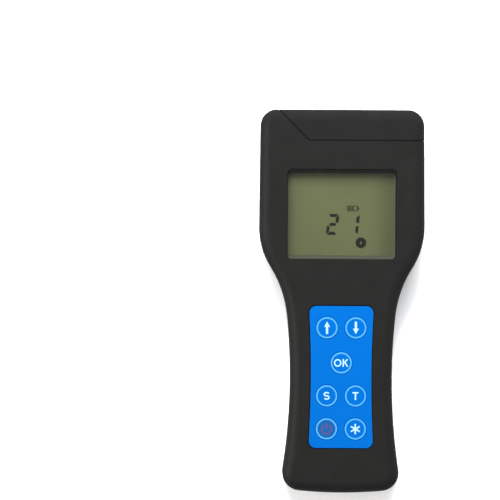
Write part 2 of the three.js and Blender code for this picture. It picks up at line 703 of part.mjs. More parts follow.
// A film ribbon from the keypad's slot down to its connector, drawn in Y and Z, extruded across X
const zifY = [boardY[0] + 3.5, boardY[0] + 8.5];
const zifZ = [boardZ[1] + STACK_GAP, boardZ[1] + STACK_GAP + 2.4];

function keypadTail() {
  const slotMiddle = (tailSlotY[0] + tailSlotY[1]) / 2;
  const end = new THREE.Vector2(zifY[0] - GAP, (zifZ[0] + zifZ[1]) / 2);
  const curve = new THREE.CubicBezierCurve(
    new THREE.Vector2(slotMiddle, circuitZ[0] - STACK_GAP),
    new THREE.Vector2(slotMiddle, end.y),
    new THREE.Vector2(slotMiddle, end.y),
    end,
  );
  const steps = 10;
  const edge = (side) => Array.from({ length: steps + 1 }, (_, i) => {
    const tangent = curve.getTangent(i / steps);
    const normal = new THREE.Vector2(-tangent.y, tangent.x);
    return curve.getPoint(i / steps).addScaledVector(normal, side * TAIL_THICKNESS / 2);
  });
  const shape = new THREE.Shape([...edge(1), ...edge(-1).reverse()]);
  return slab(shape, [-TAIL_WIDTH / 2, TAIL_WIDTH / 2]).rotate([90, 0, 90]);
}

// ---------------------------------------------------------------------------------------------
// Main board and its components
// ---------------------------------------------------------------------------------------------

// The blank follows the case; its upper corners are cut square to clear the case's screw bosses
function mainBoard() {
  const blank = slab(bodyShape(BOARD_INSET), boardZ).intersect(block(everywhere, boardY, everywhere));
  const notchX = caseScrewPlaces[1].x - bossRadius - GAP;
  const notchY = [headScrewY - bossRadius - GAP, FAR];
  return cut(blank, [
    block([notchX, FAR], notchY, everywhere),
    block([-FAR, -notchX], notchY, everywhere),
    posts(boardScrewPlaces, everywhere, BOARD_SCREW.shank + GAP),
  ]);
}

// What hangs under the board: name, place from the window's middle, size, colour
const boardBottom = boardZ[0] - STACK_GAP;
const chip = (width, length, height) => wideBlock(width, [-length / 2, length / 2], [-height, 0]);
const can = (radius, height) => post(0, 0, [-height, 0], radius, 16);
const socketPlace = { x: 12, y: boardY[0] + 4 };
const SOCKET = { width: 8, length: 6, height: 5 };
const COMPONENTS = [
  { name: 'microcontroller', x: 0, y: windowMiddle - 8, body: chip(12, 12, 1.6), finish: 'chip' },
  { name: 'amplifier_chip', x: -24, y: windowMiddle - 1, body: chip(8, 5, 1.5), finish: 'chip' },
  { name: 'crystal', x: 16, y: windowMiddle, body: chip(11, 4.5, 3.5), finish: 'bright' },
  { name: 'shield_can', x: pinMiddle, y: windowTop - 7, body: chip(24, 18, 4), finish: 'bright' },
  { name: 'buzzer', x: -20, y: windowMiddle - 18, body: can(6, 5.5), finish: 'chip' },
  { name: 'capacitor', x: 20, y: windowMiddle - 18, body: can(3.15, 7), finish: 'bright' },
  {
    name: 'battery_socket', ...socketPlace, finish: 'white',
    body: chip(SOCKET.width, SOCKET.length, SOCKET.height),
  },
];

// ---------------------------------------------------------------------------------------------
// Battery, its snap and the wires
// ---------------------------------------------------------------------------------------------

const batteryMiddleZ = (batteryZ[0] + batteryZ[1]) / 2;
const terminalXs = [-TERMINAL.offset, TERMINAL.offset];
const snapY = [batteryTop + GAP, batteryTop + GAP + SNAP.thickness];

function battery() {
  const can9V = wideBlock(BATTERY.width, [batteryBottom, batteryTop], batteryZ);
  const terminals = terminalXs.map((x) => bar(x, [batteryTop - 1, batteryTop + TERMINAL.height],
    batteryMiddleZ, TERMINAL.radius, 12));
  return joined([can9V, ...terminals]);
}

function batterySnap() {
  const z = [batteryMiddleZ - SNAP.depth / 2, batteryMiddleZ + SNAP.depth / 2];
  const sockets = terminalXs.map((x) => bar(x, [snapY[0] - 1, snapY[0] + TERMINAL.height + GAP],
    batteryMiddleZ, SNAP.socket, 12));
  return cut(wideBlock(SNAP.width, snapY, z), sockets);
}

function batteryLead(side) {
  const startX = side * 3;
  const endX = socketPlace.x + side * 1.5;
  const wallTop = compartmentY[1] + COMPARTMENT_WALL;
  const endY = socketPlace.y - SOCKET.length / 2 - GAP;
  const socketZ = boardBottom - SOCKET.height / 2;
  return wire([
    [startX, snapY[1] + GAP, batteryMiddleZ],
    [startX, wallTop + 4, batteryMiddleZ],
    [(startX + endX) / 2, (wallTop + endY) / 2, batteryMiddleZ - 1],
    [endX, endY - 8, socketZ - 1],
    [endX, endY, socketZ],
  ], LEAD_RADIUS);
}

function probeLead(pinX, side) {
  const startY = seamY - PIN_TAIL - GAP;
  return wire([
    [pinX, startY, pinZ],
    [pinX + side * 1.5, startY - 2.5, pinZ],
    [pinX + side * 4, startY - 5, pinZ + 1],
    [pinX + side * 5, startY - 7, boardBottom - GAP],
  ], LEAD_RADIUS);
}

// ---------------------------------------------------------------------------------------------
// Materials
// ---------------------------------------------------------------------------------------------

const finish = (color, roughness, metalness = 0) =>
  new THREE.MeshStandardMaterial({ color, roughness, metalness });

const FINISHES = {
  shell: () => finish(0x323231, 0.55),
  overlay: () => finish(0x0f7be7, 0.35),
  film: () => finish(0xe8e4d8, 0.5),
  lens: () => finish(0xdfe6e0, 0.08),
  lcd: () => finish(0x6f7654, 0.3),
  rubber: () => finish(0x1c1c1c, 0.9),
  white: () => finish(0xe9e9e6, 0.5),
  backlight: () => finish(0xd8e6c8, 0.4),
  board: () => finish(0x1f6b3a, 0.45),
  chip: () => finish(0x17181a, 0.5),
  bright: () => finish(0xc9ccce, 0.3, 1),
  steel: () => finish(0xb8babc, 0.35, 1),
  brass: () => finish(0xc8a24a, 0.35, 1),
  insulator: () => finish(0xf2f0ea, 0.45),
  nose: () => finish(0x232424, 0.6),
  batteryJacket: () => finish(0x2d4f8a, 0.4),
  foam: () => finish(0x4a4a48, 0.95),
  redWire: () => finish(0xb3201c, 0.5),
  blackWire: () => finish(0x1a1a1a, 0.5),
  contact: () => finish(0x2b2b2b, 0.7),
};

// ---------------------------------------------------------------------------------------------
// Assembly
// ---------------------------------------------------------------------------------------------

function piece(name, body, finishName, [x, y, z] = [0, 0, 0]) {
  const mesh = new THREE.Mesh(geometryOf(body), FINISHES[finishName]());
  mesh.name = name;
  mesh.position.set(x, y, z);
  return mesh;
}

function group(...children) {
  return new THREE.Group().add(...children);
}

function caseGroup() {
  const screwZ = SCREW_SINK - STACK_GAP - CASE_SCREW.head;
  const screw = screwSolid(CASE_SCREW);
  return group(
    piece('front_shell', frontShell(), 'shell'),
    piece('rear_shell', rearShell(), 'shell'),
    piece('probe_cap', probeCap(), 'shell'),
    piece('battery_door', batteryDoor(), 'shell'),
    ...caseScrewPlaces.map(({ x, y }, i) => piece(`case_screw_${i + 1}`, screw, 'steel', [x, y, screwZ])),
  );
}

function probeGroup() {
  const probe = group(
    ...pinXs.flatMap((x, i) => [
      piece(`pin_insulator_${i + 1}`, pinInsulator(), 'insulator', [x, 0, 0]),
      piece(`probe_pin_${i + 1}`, probePin(), 'steel', [x, 0, 0]),
      piece(`pin_nut_${i + 1}`, pinNut(), 'brass', [x, 0, 0]),
    ]),
  );
  probe.position.set(0, seamY, pinZ);
  return group(
    piece('probe_nose', probeNose(), 'nose'),
    piece('probe_lead_1', probeLead(pinXs[0], -1), 'redWire'),
    piece('probe_lead_2', probeLead(pinXs[1], 1), 'blackWire'),
    probe,
  );
}

function displayGroup() {
  const zebraOffset = (windowY[1] - windowY[0]) / 2 + GAP + ZEBRA_WIDTH / 2;
  return group(
    piece('display_window', displayWindow(), 'lens'),
    piece('display_gasket', displayGasket(), 'rubber'),
    piece('lcd_panel', wideBlock(lcdWidth, lcdY, lcdZ), 'lcd'),
    piece('lcd_frame', lcdFrame(), 'white'),
    piece('backlight_panel', backlightPanel(), 'backlight'),
    piece('zebra_strip_upper', zebraStrip(), 'contact', [0, windowMiddle + zebraOffset, 0]),
    piece('zebra_strip_lower', zebraStrip(), 'contact', [0, windowMiddle - zebraOffset, 0]),
  );
}

function keypadGroup() {
  const key = keySolid();
  const dome = domeSolid();
  return group(
    piece('keypad_overlay', keypadLayer(0, overlayZ, KEY_RADIUS + GAP - STACK_GAP / 2), 'overlay'),
    piece('keypad_spacer', keypadLayer(0, spacerZ, KEY_RADIUS + SPACER_HOLE_CLEARANCE), 'film'),
    piece('keypad_circuit', keypadLayer(CIRCUIT_INSET, circuitZ), 'film'),
    piece('keypad_tail', keypadTail(), 'film'),
    ...KEYS.flatMap(({ name, x, y }) => [
      piece(`key_${name}`, key, 'overlay', [x, y, keyTop]),
      piece(`dome_${name}`, dome, 'steel', [x, y, circuitZ[1] + FILM_GAP / 2]),
    ]),
  );
}

function boardGroup() {
  const screw = screwSolid(BOARD_SCREW);
  const screwZ = boardBottom - BOARD_SCREW.head;
  return group(
    piece('main_board', mainBoard(), 'board'),
    piece('zif_connector', wideBlock(TAIL_WIDTH + 2, zifY, zifZ), 'white'),
    ...COMPONENTS.map(({ name, x, y, body, finish: look }) => piece(name, body, look, [x, y, boardBottom])),
    ...boardScrewPlaces.map(({ x, y }, i) => piece(`board_screw_${i + 1}`, screw, 'steel', [x, y, screwZ])),
  );
}

function batteryGroup() {
  const padZ = compartmentCeiling - STACK_GAP;
  const padMiddle = (batteryBottom + batteryTop) / 2;
  const padY = [padMiddle - BATTERY_PAD.length / 2, padMiddle + BATTERY_PAD.length / 2];
  return group(
    piece('battery', battery(), 'batteryJacket'),
    piece('battery_snap', batterySnap(), 'blackWire'),
    piece('battery_lead_red', batteryLead(-1), 'redWire'),
    piece('battery_lead_black', batteryLead(1), 'blackWire'),
    piece('battery_pad', wideBlock(BATTERY_PAD.width, padY, [padZ - BATTERY_PAD.thickness, padZ]), 'foam'),
  );
}

export default group(
  caseGroup(),
  probeGroup(),
  displayGroup(),
  keypadGroup(),
  boardGroup(),
  batteryGroup(),
);
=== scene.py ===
import math

import bmesh
import bpy
from mathutils import Matrix, Vector


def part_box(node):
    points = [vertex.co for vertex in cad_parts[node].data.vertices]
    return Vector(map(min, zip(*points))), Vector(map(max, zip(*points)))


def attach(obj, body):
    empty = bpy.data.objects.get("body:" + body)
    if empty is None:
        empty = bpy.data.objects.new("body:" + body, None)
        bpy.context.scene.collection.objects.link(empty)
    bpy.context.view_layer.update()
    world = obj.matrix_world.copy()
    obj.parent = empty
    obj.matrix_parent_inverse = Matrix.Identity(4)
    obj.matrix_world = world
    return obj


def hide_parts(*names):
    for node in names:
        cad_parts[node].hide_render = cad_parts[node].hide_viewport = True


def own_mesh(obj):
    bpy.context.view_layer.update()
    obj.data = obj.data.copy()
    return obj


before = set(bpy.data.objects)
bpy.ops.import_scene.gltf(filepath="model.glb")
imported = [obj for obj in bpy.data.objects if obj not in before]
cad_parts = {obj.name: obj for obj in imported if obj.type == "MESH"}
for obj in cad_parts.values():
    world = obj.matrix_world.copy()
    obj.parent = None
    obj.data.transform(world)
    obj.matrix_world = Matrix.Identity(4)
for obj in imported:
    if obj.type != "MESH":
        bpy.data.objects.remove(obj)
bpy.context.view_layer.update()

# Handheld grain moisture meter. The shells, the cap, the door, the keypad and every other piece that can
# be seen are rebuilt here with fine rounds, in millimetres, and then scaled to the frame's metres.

MM = 0.001

# ------------------------------------------------------------
# Sizes, in millimetres and degrees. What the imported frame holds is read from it.
# ------------------------------------------------------------


def node_box(node):
    """Lowest and highest corner of a CAD node, in millimetres."""
    low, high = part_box(node)
    return low / MM, high / MM


shell_low, shell_high = node_box("rear_shell")
BODY_LENGTH = round(shell_high.y - shell_low.y, 3)
HEAD_WIDTH = round(shell_high.x - shell_low.x, 2)
BODY_DEPTH = round(node_box("front_shell")[1].z, 3)
GRIP_WIDTH = 56
WALL = 2.4
GAP = 0.3
STACK_GAP = 0.15
PARTING_HEIGHT = 16
FRONT_EDGE_RADIUS = 6.5
REAR_EDGE_RADIUS = 7
SEAM_ROUND = 0.35

TOP_CORNER_RADIUS = 9
HEAD_TAPER = 0.45
SHOULDER_RADIUS = 42
NECK_RADIUS = 62
WAIST_RADIUS = 327
WAIST_TOP_ANGLE = 6
BASE_FLARE_ANGLE = 8.85
BASE_CORNER_RADIUS = 10
BASE_BOW_ANGLE = 5.5

CAP_LENGTH = 17
CAP_CORNER_OFFSET = 27.3
WINDOW_SIDE_MARGIN = 15.5
WINDOW_TOP_MARGIN = 16
WINDOW_BELOW_SHOULDER = 17.85
WINDOW_CORNER_RADIUS = 2.5
WINDOW_ROUND = 0.5
KEYPAD_CORNER_RADIUS = 4
KEYPAD_SIDE_LEAN = 3
KEYPAD_RECESS = 2.3
KEYPAD_ROUND = 0.35
DOOR_WIDTH = 34
DOOR_FLANGE = 2
DOOR_FLANGE_THICKNESS = 1.2

SAG = 0.004
EDGE_STEPS = 10
ROUND = 64
FAR = 400


def sin(degrees):
    return math.sin(math.radians(degrees))


def cos(degrees):
    return math.cos(math.radians(degrees))


# ------------------------------------------------------------
# Outlines: the right half is walked from its top centre, heading +X, and mirrored. Each point keeps its
# outward normal, so an inset is exact and keeps the point count.
# ------------------------------------------------------------


def right_half(top, legs):
    """(x, y, normal x, normal y) down the right side. Legs are ("line", length) or ("arc", radius, turn)."""
    points = []
    x, y, heading = 0.0, top, 0.0
    for kind, *leg in legs:
        if kind == "line":
            x += leg[0] * cos(heading)
            y += leg[0] * sin(heading)
            continue
        radius, turn = leg
        side = math.copysign(1, turn)
        cx = x + side * radius * sin(heading)
        cy = y - side * radius * cos(heading)
        steps = math.ceil(math.radians(abs(turn)) / (2 * math.acos(1 - SAG / radius)))
        for i in range(steps + 1):
            angle = heading - turn * i / steps
            nx, ny = -sin(angle), cos(angle)
            px = cx + side * radius * nx
            py = cy + side * radius * ny
            if not points or math.hypot(points[-1][0] - px, points[-1][1] - py) > 1e-5:
                points.append((px, py, nx, ny))
        heading -= turn
        x = cx - side * radius * sin(heading)
        y = cy + side * radius * cos(heading)
    return points


def outline(top, legs):
    right = right_half(top, legs)
    left = [(-x, y, -nx, ny) for x, y, nx, ny in reversed(right) if x > 1e-5]
    return right + left


def rounded_rectangle(width, low, high, radius):
    return outline(high, [
        ("line", width / 2 - radius),
        ("arc", radius, 90),
        ("line", high - low - 2 * radius),
        ("arc", radius, 90),
        ("line", width / 2 - radius),
    ])


def circle(x, y, radius, count=ROUND):
    turns = [360 * i / count for i in range(count)]
    return [(x + radius * sin(a), y + radius * cos(a), sin(a), cos(a)) for a in turns]


body_bottom = -BODY_LENGTH / 2
body_top = BODY_LENGTH / 2


def waist_drop(angle):
    return WAIST_RADIUS * (1 - cos(angle))


neck_angle = math.degrees(math.acos((
    SHOULDER_RADIUS + NECK_RADIUS * cos(WAIST_TOP_ANGLE) + waist_drop(WAIST_TOP_ANGLE)
    - (HEAD_WIDTH - GRIP_WIDTH) / 2) / (SHOULDER_RADIUS + NECK_RADIUS)))
base_corner_x = GRIP_WIDTH / 2 + waist_drop(BASE_FLARE_ANGLE) - BASE_CORNER_RADIUS * cos(BASE_FLARE_ANGLE)
base_bow_radius = base_corner_x / sin(BASE_BOW_ANGLE) + BASE_CORNER_RADIUS
shoulder_y = (body_bottom
              + SHOULDER_RADIUS * sin(neck_angle)
              + NECK_RADIUS * (sin(neck_angle) - sin(WAIST_TOP_ANGLE))
              + WAIST_RADIUS * (sin(WAIST_TOP_ANGLE) + sin(BASE_FLARE_ANGLE))
              + BASE_CORNER_RADIUS * (sin(BASE_FLARE_ANGLE) + cos(BASE_BOW_ANGLE))
              + base_bow_radius * (1 - cos(BASE_BOW_ANGLE)))
head_side_length = (body_top - TOP_CORNER_RADIUS * (1 - sin(HEAD_TAPER))
                    - shoulder_y - SHOULDER_RADIUS * sin(HEAD_TAPER)) / cos(HEAD_TAPER)
top_corner_x = (HEAD_WIDTH / 2 - SHOULDER_RADIUS * (1 - cos(HEAD_TAPER))
                - head_side_length * sin(HEAD_TAPER) - TOP_CORNER_RADIUS * cos(HEAD_TAPER))

BODY_OUTLINE = outline(body_top, [
    ("line", top_corner_x),
    ("arc", TOP_CORNER_RADIUS, 90 - HEAD_TAPER),
    ("line", head_side_length),
    ("arc", SHOULDER_RADIUS, neck_angle + HEAD_TAPER),
    ("arc", NECK_RADIUS, WAIST_TOP_ANGLE - neck_angle),
    ("arc", WAIST_RADIUS, -(WAIST_TOP_ANGLE + BASE_FLARE_ANGLE)),
    ("arc", BASE_CORNER_RADIUS, 90 + BASE_FLARE_ANGLE - BASE_BOW_ANGLE),
    ("arc", base_bow_radius, BASE_BOW_ANGLE),
])

keypad_low, keypad_high = node_box("keypad_overlay")
KEYPAD_WIDTH = keypad_high.x - keypad_low.x
KEYPAD_HEIGHT = keypad_high.y - keypad_low.y
keypad_side_radius = ((KEYPAD_HEIGHT / 2 - KEYPAD_CORNER_RADIUS * (1 + sin(KEYPAD_SIDE_LEAN)))
                      / sin(KEYPAD_SIDE_LEAN))
KEYPAD_OUTLINE = outline(keypad_high.y, [
    ("line", KEYPAD_WIDTH / 2 - KEYPAD_CORNER_RADIUS),
    ("arc", KEYPAD_CORNER_RADIUS, 90 + KEYPAD_SIDE_LEAN),
    ("arc", keypad_side_radius, -2 * KEYPAD_SIDE_LEAN),
    ("arc", KEYPAD_CORNER_RADIUS, 90 + KEYPAD_SIDE_LEAN),
    ("line", KEYPAD_WIDTH / 2 - KEYPAD_CORNER_RADIUS),
])

# ------------------------------------------------------------
# Solids, in millimetres, as Blender objects that are joined and cut with each other
# ------------------------------------------------------------


def split_big_faces(mesh):
    """Makes triangles of the faces with more than four corners, such as a slab's flat ends."""
    made = bmesh.new()
    made.from_mesh(mesh)
    bmesh.ops.triangulate(made, faces=[f for f in made.faces if len(f.verts) > 4])
    made.to_mesh(mesh)
    made.free()


def solid(vertices, faces):
    mesh = bpy.data.meshes.new("solid")
    mesh.from_pydata(vertices, [], faces)
    made = bmesh.new()
    made.from_mesh(mesh)
    bmesh.ops.remove_doubles(made, verts=made.verts, dist=1e-5)
    bmesh.ops.recalc_face_normals(made, faces=made.faces)
    made.to_mesh(mesh)
    made.free()
    split_big_faces(mesh)
    obj = bpy.data.objects.new("solid", mesh)
    bpy.context.scene.collection.objects.link(obj)
    return obj


def loft(rings, closed=False):
    """Rings of equally many (x, y, z) points, skinned in order, with flat ends unless closed on itself."""
    count = len(rings[0])
    vertices = [point for ring in rings for point in ring]
    faces = []
    spans = len(rings) if closed else len(rings) - 1
    for i in range(spans):
        a, b = i * count, (i + 1) % len(rings) * count
        for j in range(count):
            k = (j + 1) % count
            faces.append((a + j, a + k, b + k, b + j))
    if not closed:
        faces.append(tuple(range(count)))
        faces.append(tuple((len(rings) - 1) * count + j for j in range(count)))
    return solid(vertices, faces)


def ring(points, inset, z):
    return [(x - nx * inset, y - ny * inset, z) for x, y, nx, ny in points]


def slab(points, z, inset=0.0):
    return loft([ring(points, inset, z[0]), ring(points, inset, z[1])])


def turned_edge(points, profile):
    """An outline swept up a profile of (inset, z) pairs."""
    return loft([ring(points, inset, z) for inset, z in profile])


def block(x, y, z):
    corners = [(x[0], y[0]), (x[1], y[0]), (x[1], y[1]), (x[0], y[1])]
    return loft([[(cx, cy, height) for cx, cy in corners] for height in z])


def wide(width, y, z, x=0.0):
    return block((x - width / 2, x + width / 2), y, z)


def prism(corners, z):
    return loft([[(x, y, height) for x, y in corners] for height in z])


def lathe(profile, centre=(0, 0, 0), along="z", count=ROUND):
    """Profile of (radius, height) pairs. It closes on itself where it doesn't start and end on the axis."""
    rings = []
    for radius, height in profile:
        turns = [360 * i / count for i in range(count)]
        points = [(radius * cos(a), radius * sin(a), height) for a in turns]
        if along == "y":
            points = [(x, y, z) for x, z, y in points]
        rings.append([tuple(p + c for p, c in zip(point, centre)) for point in points])
    on_axis = profile[0][0] == 0 and profile[-1][0] == 0
    return capped(rings) if on_axis else loft(rings, closed=True)


def capped(rings):
    """Rings whose first and last are single points on the axis."""
    count = len(rings[0])
    vertices = [rings[0][0]] + [p for r in rings[1:-1] for p in r] + [rings[-1][0]]
    faces = []
    last = len(vertices) - 1
    for j in range(count):
        k = (j + 1) % count
        faces.append((0, 1 + k, 1 + j))
        for i in range(len(rings) - 3):
            a, b = 1 + i * count, 1 + (i + 1) * count
            faces.append((a + j, a + k, b + k, b + j))
        end = last - count
        faces.append((last, end + j, end + k))
    return solid(vertices, faces)


def rod(x, y, z, radius, count=ROUND):
    return slab(circle(x, y, radius, count), z)


def bar(x, y, z, radius, count=ROUND):
    """A round bar along Y, between y[0] and y[1]."""
    points = circle(x, z, radius, count)
    return loft([[(px, height, pz) for px, pz, _, _ in points] for height in y])


def carved(base, *steps):
    """base joined with, kept inside or cut by each tool in turn. The tools are used up."""
    operations = {"add": "UNION", "keep": "INTERSECT", "cut": "DIFFERENCE"}
    for word, tool in steps:
        modifier = base.modifiers.new(word, "BOOLEAN")
        modifier.operation = operations[word]
        modifier.solver = "MANIFOLD"
        modifier.object = tool
    bpy.context.view_layer.update()
    depsgraph = bpy.context.evaluated_depsgraph_get()
    mesh = bpy.data.meshes.new_from_object(base.evaluated_get(depsgraph))
    base.modifiers.clear()
    base.data = mesh
    for _, tool in steps:
        bpy.data.objects.remove(tool)
    return base


def each(word, tools):
    return [(word, tool) for tool in tools]


# ------------------------------------------------------------
# The case as a rounded block, and the cap's seam
# ------------------------------------------------------------


def quarter(steps=EDGE_STEPS):
    return [90 * i / steps for i in range(steps + 1)]


def rear_profile(inset, top):
    radius = max(REAR_EDGE_RADIUS - inset, GAP)
    rise = [(inset + radius * (1 - sin(t)), inset + radius * (1 - cos(t))) for t in quarter()]
    return rise + [(inset, top)]


def front_profile(inset, bottom):
    radius = max(FRONT_EDGE_RADIUS - inset, GAP)
    top = BODY_DEPTH - inset
    rise = [(inset + radius * (1 - cos(t)), top - radius * (1 - sin(t))) for t in quarter()]
    return [(inset, bottom)] + rise


def case_block(inset):
    middle = PARTING_HEIGHT
    return turned_edge(BODY_OUTLINE, rear_profile(inset, middle)[:-1] + front_profile(inset, middle)[1:])


def seam_fillet(low, high):
    """Insets and heights of a small convex round from low to high, on the outer wall."""
    step = high - low
    return [(SEAM_ROUND * (1 - sin(t)), low + step * (1 - cos(t))) for t in quarter(4)]


def front_block():
    low = PARTING_HEIGHT + GAP / 2
    return turned_edge(BODY_OUTLINE, seam_fillet(low, low + SEAM_ROUND) + front_profile(0, low)[1:])


def rear_block():
    high = PARTING_HEIGHT - GAP / 2
    fillet = seam_fillet(high, high - SEAM_ROUND)
    return turned_edge(BODY_OUTLINE, rear_profile(0, high)[:-1] + fillet[::-1])


seam_y = body_top - CAP_LENGTH
seam_corner_x = CAP_CORNER_OFFSET - HEAD_WIDTH / 2
mouth_left = seam_corner_x + (WALL + GAP / 2) * math.sqrt(2)
EVERYWHERE = (-FAR, FAR)


def cap_region(grow):
    x = seam_corner_x - grow * (math.sqrt(2) - 1)
    y = seam_y - grow
    return prism([(x, y), (FAR, y), (FAR, FAR), (x - FAR + y, FAR)], EVERYWHERE)


def seam_easing():
    """Shallow steps that take the sharp edge off both sides of the cap's seam."""
    steps = []
    for reach, depth in ((0.38, 0.05), (0.28, 0.12), (0.2, 0.22)):
        steps.append(carved(
            cap_region(GAP / 2 + reach),
            ("cut", cap_region(-GAP / 2 - reach)),
            ("cut", case_block(depth)),
        ))
    return steps


def cavity():
    mouth = block((mouth_left, FAR), (seam_y - WALL - 1, seam_y + 1), EVERYWHERE)
    return carved(
        carved(case_block(WALL), ("cut", cap_region(WALL + GAP / 2))),
        ("add", carved(case_block(WALL), ("keep", mouth))),
    )


def rounded_cut(points, floor, top, radius):
    """A cutter whose mouth flares out in a convex round where it meets the face."""
    flare = [(-radius * (1 - cos(t)), top - radius * (1 - sin(t))) for t in quarter(6)]
    return turned_edge(points, [(0, floor)] + flare + [(-radius, top + 1)])


# ------------------------------------------------------------
# Front shell
# ------------------------------------------------------------

face_inner = BODY_DEPTH - WALL
window_low = shoulder_y - WINDOW_BELOW_SHOULDER
window_high = seam_y - WINDOW_TOP_MARGIN
window_width = HEAD_WIDTH - 2 * WINDOW_SIDE_MARGIN
lens_low, lens_high = node_box("display_window")
recess_floor = BODY_DEPTH - KEYPAD_RECESS


def screw_places(name, count=4):
    places = []
    for i in range(count):
        low, high = node_box(f"{name}_{i + 1}")
        places.append(((low.x + high.x) / 2, (low.y + high.y) / 2, low.z))
    return places


CASE_SCREWS = screw_places("case_screw")
BOARD_SCREWS = screw_places("board_screw")
SCREW_SINK = 4
SCREW_HOLE = 2.9
BOSS_RADIUS = 3.2
BOARD_BOSS_RADIUS = 2.4
PILOT = 1.6
BOARD_PILOT = 1.4
LENS_FRAME_WALL = 1.5
TAIL_SLOT_WIDTH = 15
TAIL_SLOT_BELOW_TOP = 3.2
TAIL_SLOT_HEIGHT = 1.5
board_high = node_box("main_board")[1]


def keypad_window():
    """The keypad recess follows the overlay with a clearance, and its mouth is rounded."""
    points = [(x + nx * GAP, y + ny * GAP, nx, ny) for x, y, nx, ny in KEYPAD_OUTLINE]
    return rounded_cut(points, recess_floor, BODY_DEPTH, KEYPAD_ROUND)


def front_shell():
    window = rounded_rectangle(window_width, window_low, window_high, WINDOW_CORNER_RADIUS)
    frame_y = (lens_low.y - GAP, lens_high.y + GAP)
    frame_z = (face_inner - 2.3, face_inner + 1)
    lens_width = lens_high.x - lens_low.x + 2 * GAP
    lens_frame = carved(
        wide(lens_width + 2 * LENS_FRAME_WALL,
             (frame_y[0] - LENS_FRAME_WALL, frame_y[1] + LENS_FRAME_WALL), frame_z),
        ("cut", wide(lens_width, frame_y, EVERYWHERE)),
    )
    low = PARTING_HEIGHT + GAP / 2
    boss_z = (low, face_inner + 1)
    backing = slab(KEYPAD_OUTLINE, (recess_floor - 2, face_inner + 1), -2 - GAP)
    tail_slot_top = keypad_high.y - TAIL_SLOT_BELOW_TOP
    tail_slot_y = (tail_slot_top - TAIL_SLOT_HEIGHT, tail_slot_top)
    return carved(
        front_block(),
        ("cut", cavity()),
        ("cut", cap_region(GAP / 2)),
        ("add", lens_frame),
        ("add", backing),
        *each("add", [rod(x, y, boss_z, BOSS_RADIUS) for x, y, _ in CASE_SCREWS]),
        *each("add", [rod(x, y, (board_high.z + STACK_GAP, face_inner + 1), BOARD_BOSS_RADIUS)
                      for x, y, _ in BOARD_SCREWS]),
        *each("cut", [rod(x, y, (low - 1, low + 7), PILOT) for x, y, _ in CASE_SCREWS]),
        *each("cut", [rod(x, y, (board_high.z, board_high.z + 6), BOARD_PILOT)
                      for x, y, _ in BOARD_SCREWS]),
        ("cut", rounded_cut(window, face_inner - 1, BODY_DEPTH, WINDOW_ROUND)),
        ("cut", keypad_window()),
        ("cut", wide(TAIL_SLOT_WIDTH, tail_slot_y, (recess_floor - 3, recess_floor + 1))),
        *each("cut", seam_easing()),
    )


# ------------------------------------------------------------
# Rear shell, battery compartment and door
# ------------------------------------------------------------

door_high = node_box("battery_door")[1]
battery_low, battery_high = node_box("battery")
snap_low, snap_high = node_box("battery_snap")
pad_high = node_box("battery_pad")[1]
BAY_WALL = 1.6
LIP_WALL = 1.2
WIRE_SLOT_WIDTH = 12
WIRE_SLOT_Z = (9, 17)
door_thickness = WALL + GAP + DOOR_FLANGE_THICKNESS
deck = (door_thickness + GAP, door_thickness + GAP + BAY_WALL)
track_width = DOOR_WIDTH + 2 * (DOOR_FLANGE + GAP)
bay_width = 28
bay = (body_bottom + 8.05, door_high.y - 4)
bay_ceiling = pad_high.z + STACK_GAP


def shell_lip():
    low, high = PARTING_HEIGHT - 3, PARTING_HEIGHT + 2.5
    lip = carved(
        slab(BODY_OUTLINE, (low, high), WALL + GAP),
        ("add", slab(BODY_OUTLINE, (low, PARTING_HEIGHT - GAP / 2), WALL / 2)),
        ("cut", slab(BODY_OUTLINE, EVERYWHERE, WALL + GAP + LIP_WALL)),
        *each("cut", [rod(x, y, (PARTING_HEIGHT - GAP, FAR), BOSS_RADIUS + GAP)
                      for x, y, _ in CASE_SCREWS]),
        ("cut", block(EVERYWHERE, (CASE_SCREWS[0][1] - 2 * BOSS_RADIUS, FAR), EVERYWHERE)),
    )
    return lip


def door_track():
    end = door_high.y + GAP + BAY_WALL
    return carved(
        wide(track_width + 2 * BAY_WALL, (body_bottom, end), (WALL / 2, deck[1])),
        ("keep", case_block(WALL / 2)),
        ("cut", wide(track_width, (-FAR, door_high.y + GAP), (WALL - 1, deck[0]))),
    )


def door_opening():
    """The slot that the door slides in."""
    width = DOOR_WIDTH + 2 * GAP
    return wide(width, (-FAR, door_high.y + GAP), (-1, deck[0]))


def rear_shell():
    high = PARTING_HEIGHT - GAP / 2
    bosses = [carved(rod(x, y, (0, high), BOSS_RADIUS), ("keep", case_block(0.02)))
              for x, y, _ in CASE_SCREWS]
    bay_walls = wide(bay_width + 2 * BAY_WALL, (bay[0] - BAY_WALL, bay[1] + BAY_WALL),
                     (deck[0], bay_ceiling + BAY_WALL))
    sinks = [turned_edge(circle(x, y, SCREW_HOLE), [(-0.3, -1), (-0.3, 0), (0, 0.3), (0, SCREW_SINK)])
             for x, y, _ in CASE_SCREWS]
    return carved(
        rear_block(),
        ("cut", cavity()),
        ("cut", cap_region(GAP / 2)),
        ("add", shell_lip()),
        *each("add", bosses),
        ("add", door_track()),
        ("add", bay_walls),
        ("cut", door_opening()),
        ("cut", wide(track_width, (-FAR, door_high.y + GAP), (WALL, deck[0]))),
        ("cut", wide(bay_width, bay, (0, bay_ceiling))),
        ("cut", wide(WIRE_SLOT_WIDTH, (bay[1] - 1, bay[1] + BAY_WALL + 1), WIRE_SLOT_Z)),
        *each("cut", sinks),
        *each("cut", [rod(x, y, (-1, FAR), PILOT) for x, y, _ in CASE_SCREWS]),
        *each("cut", seam_easing()),
    )


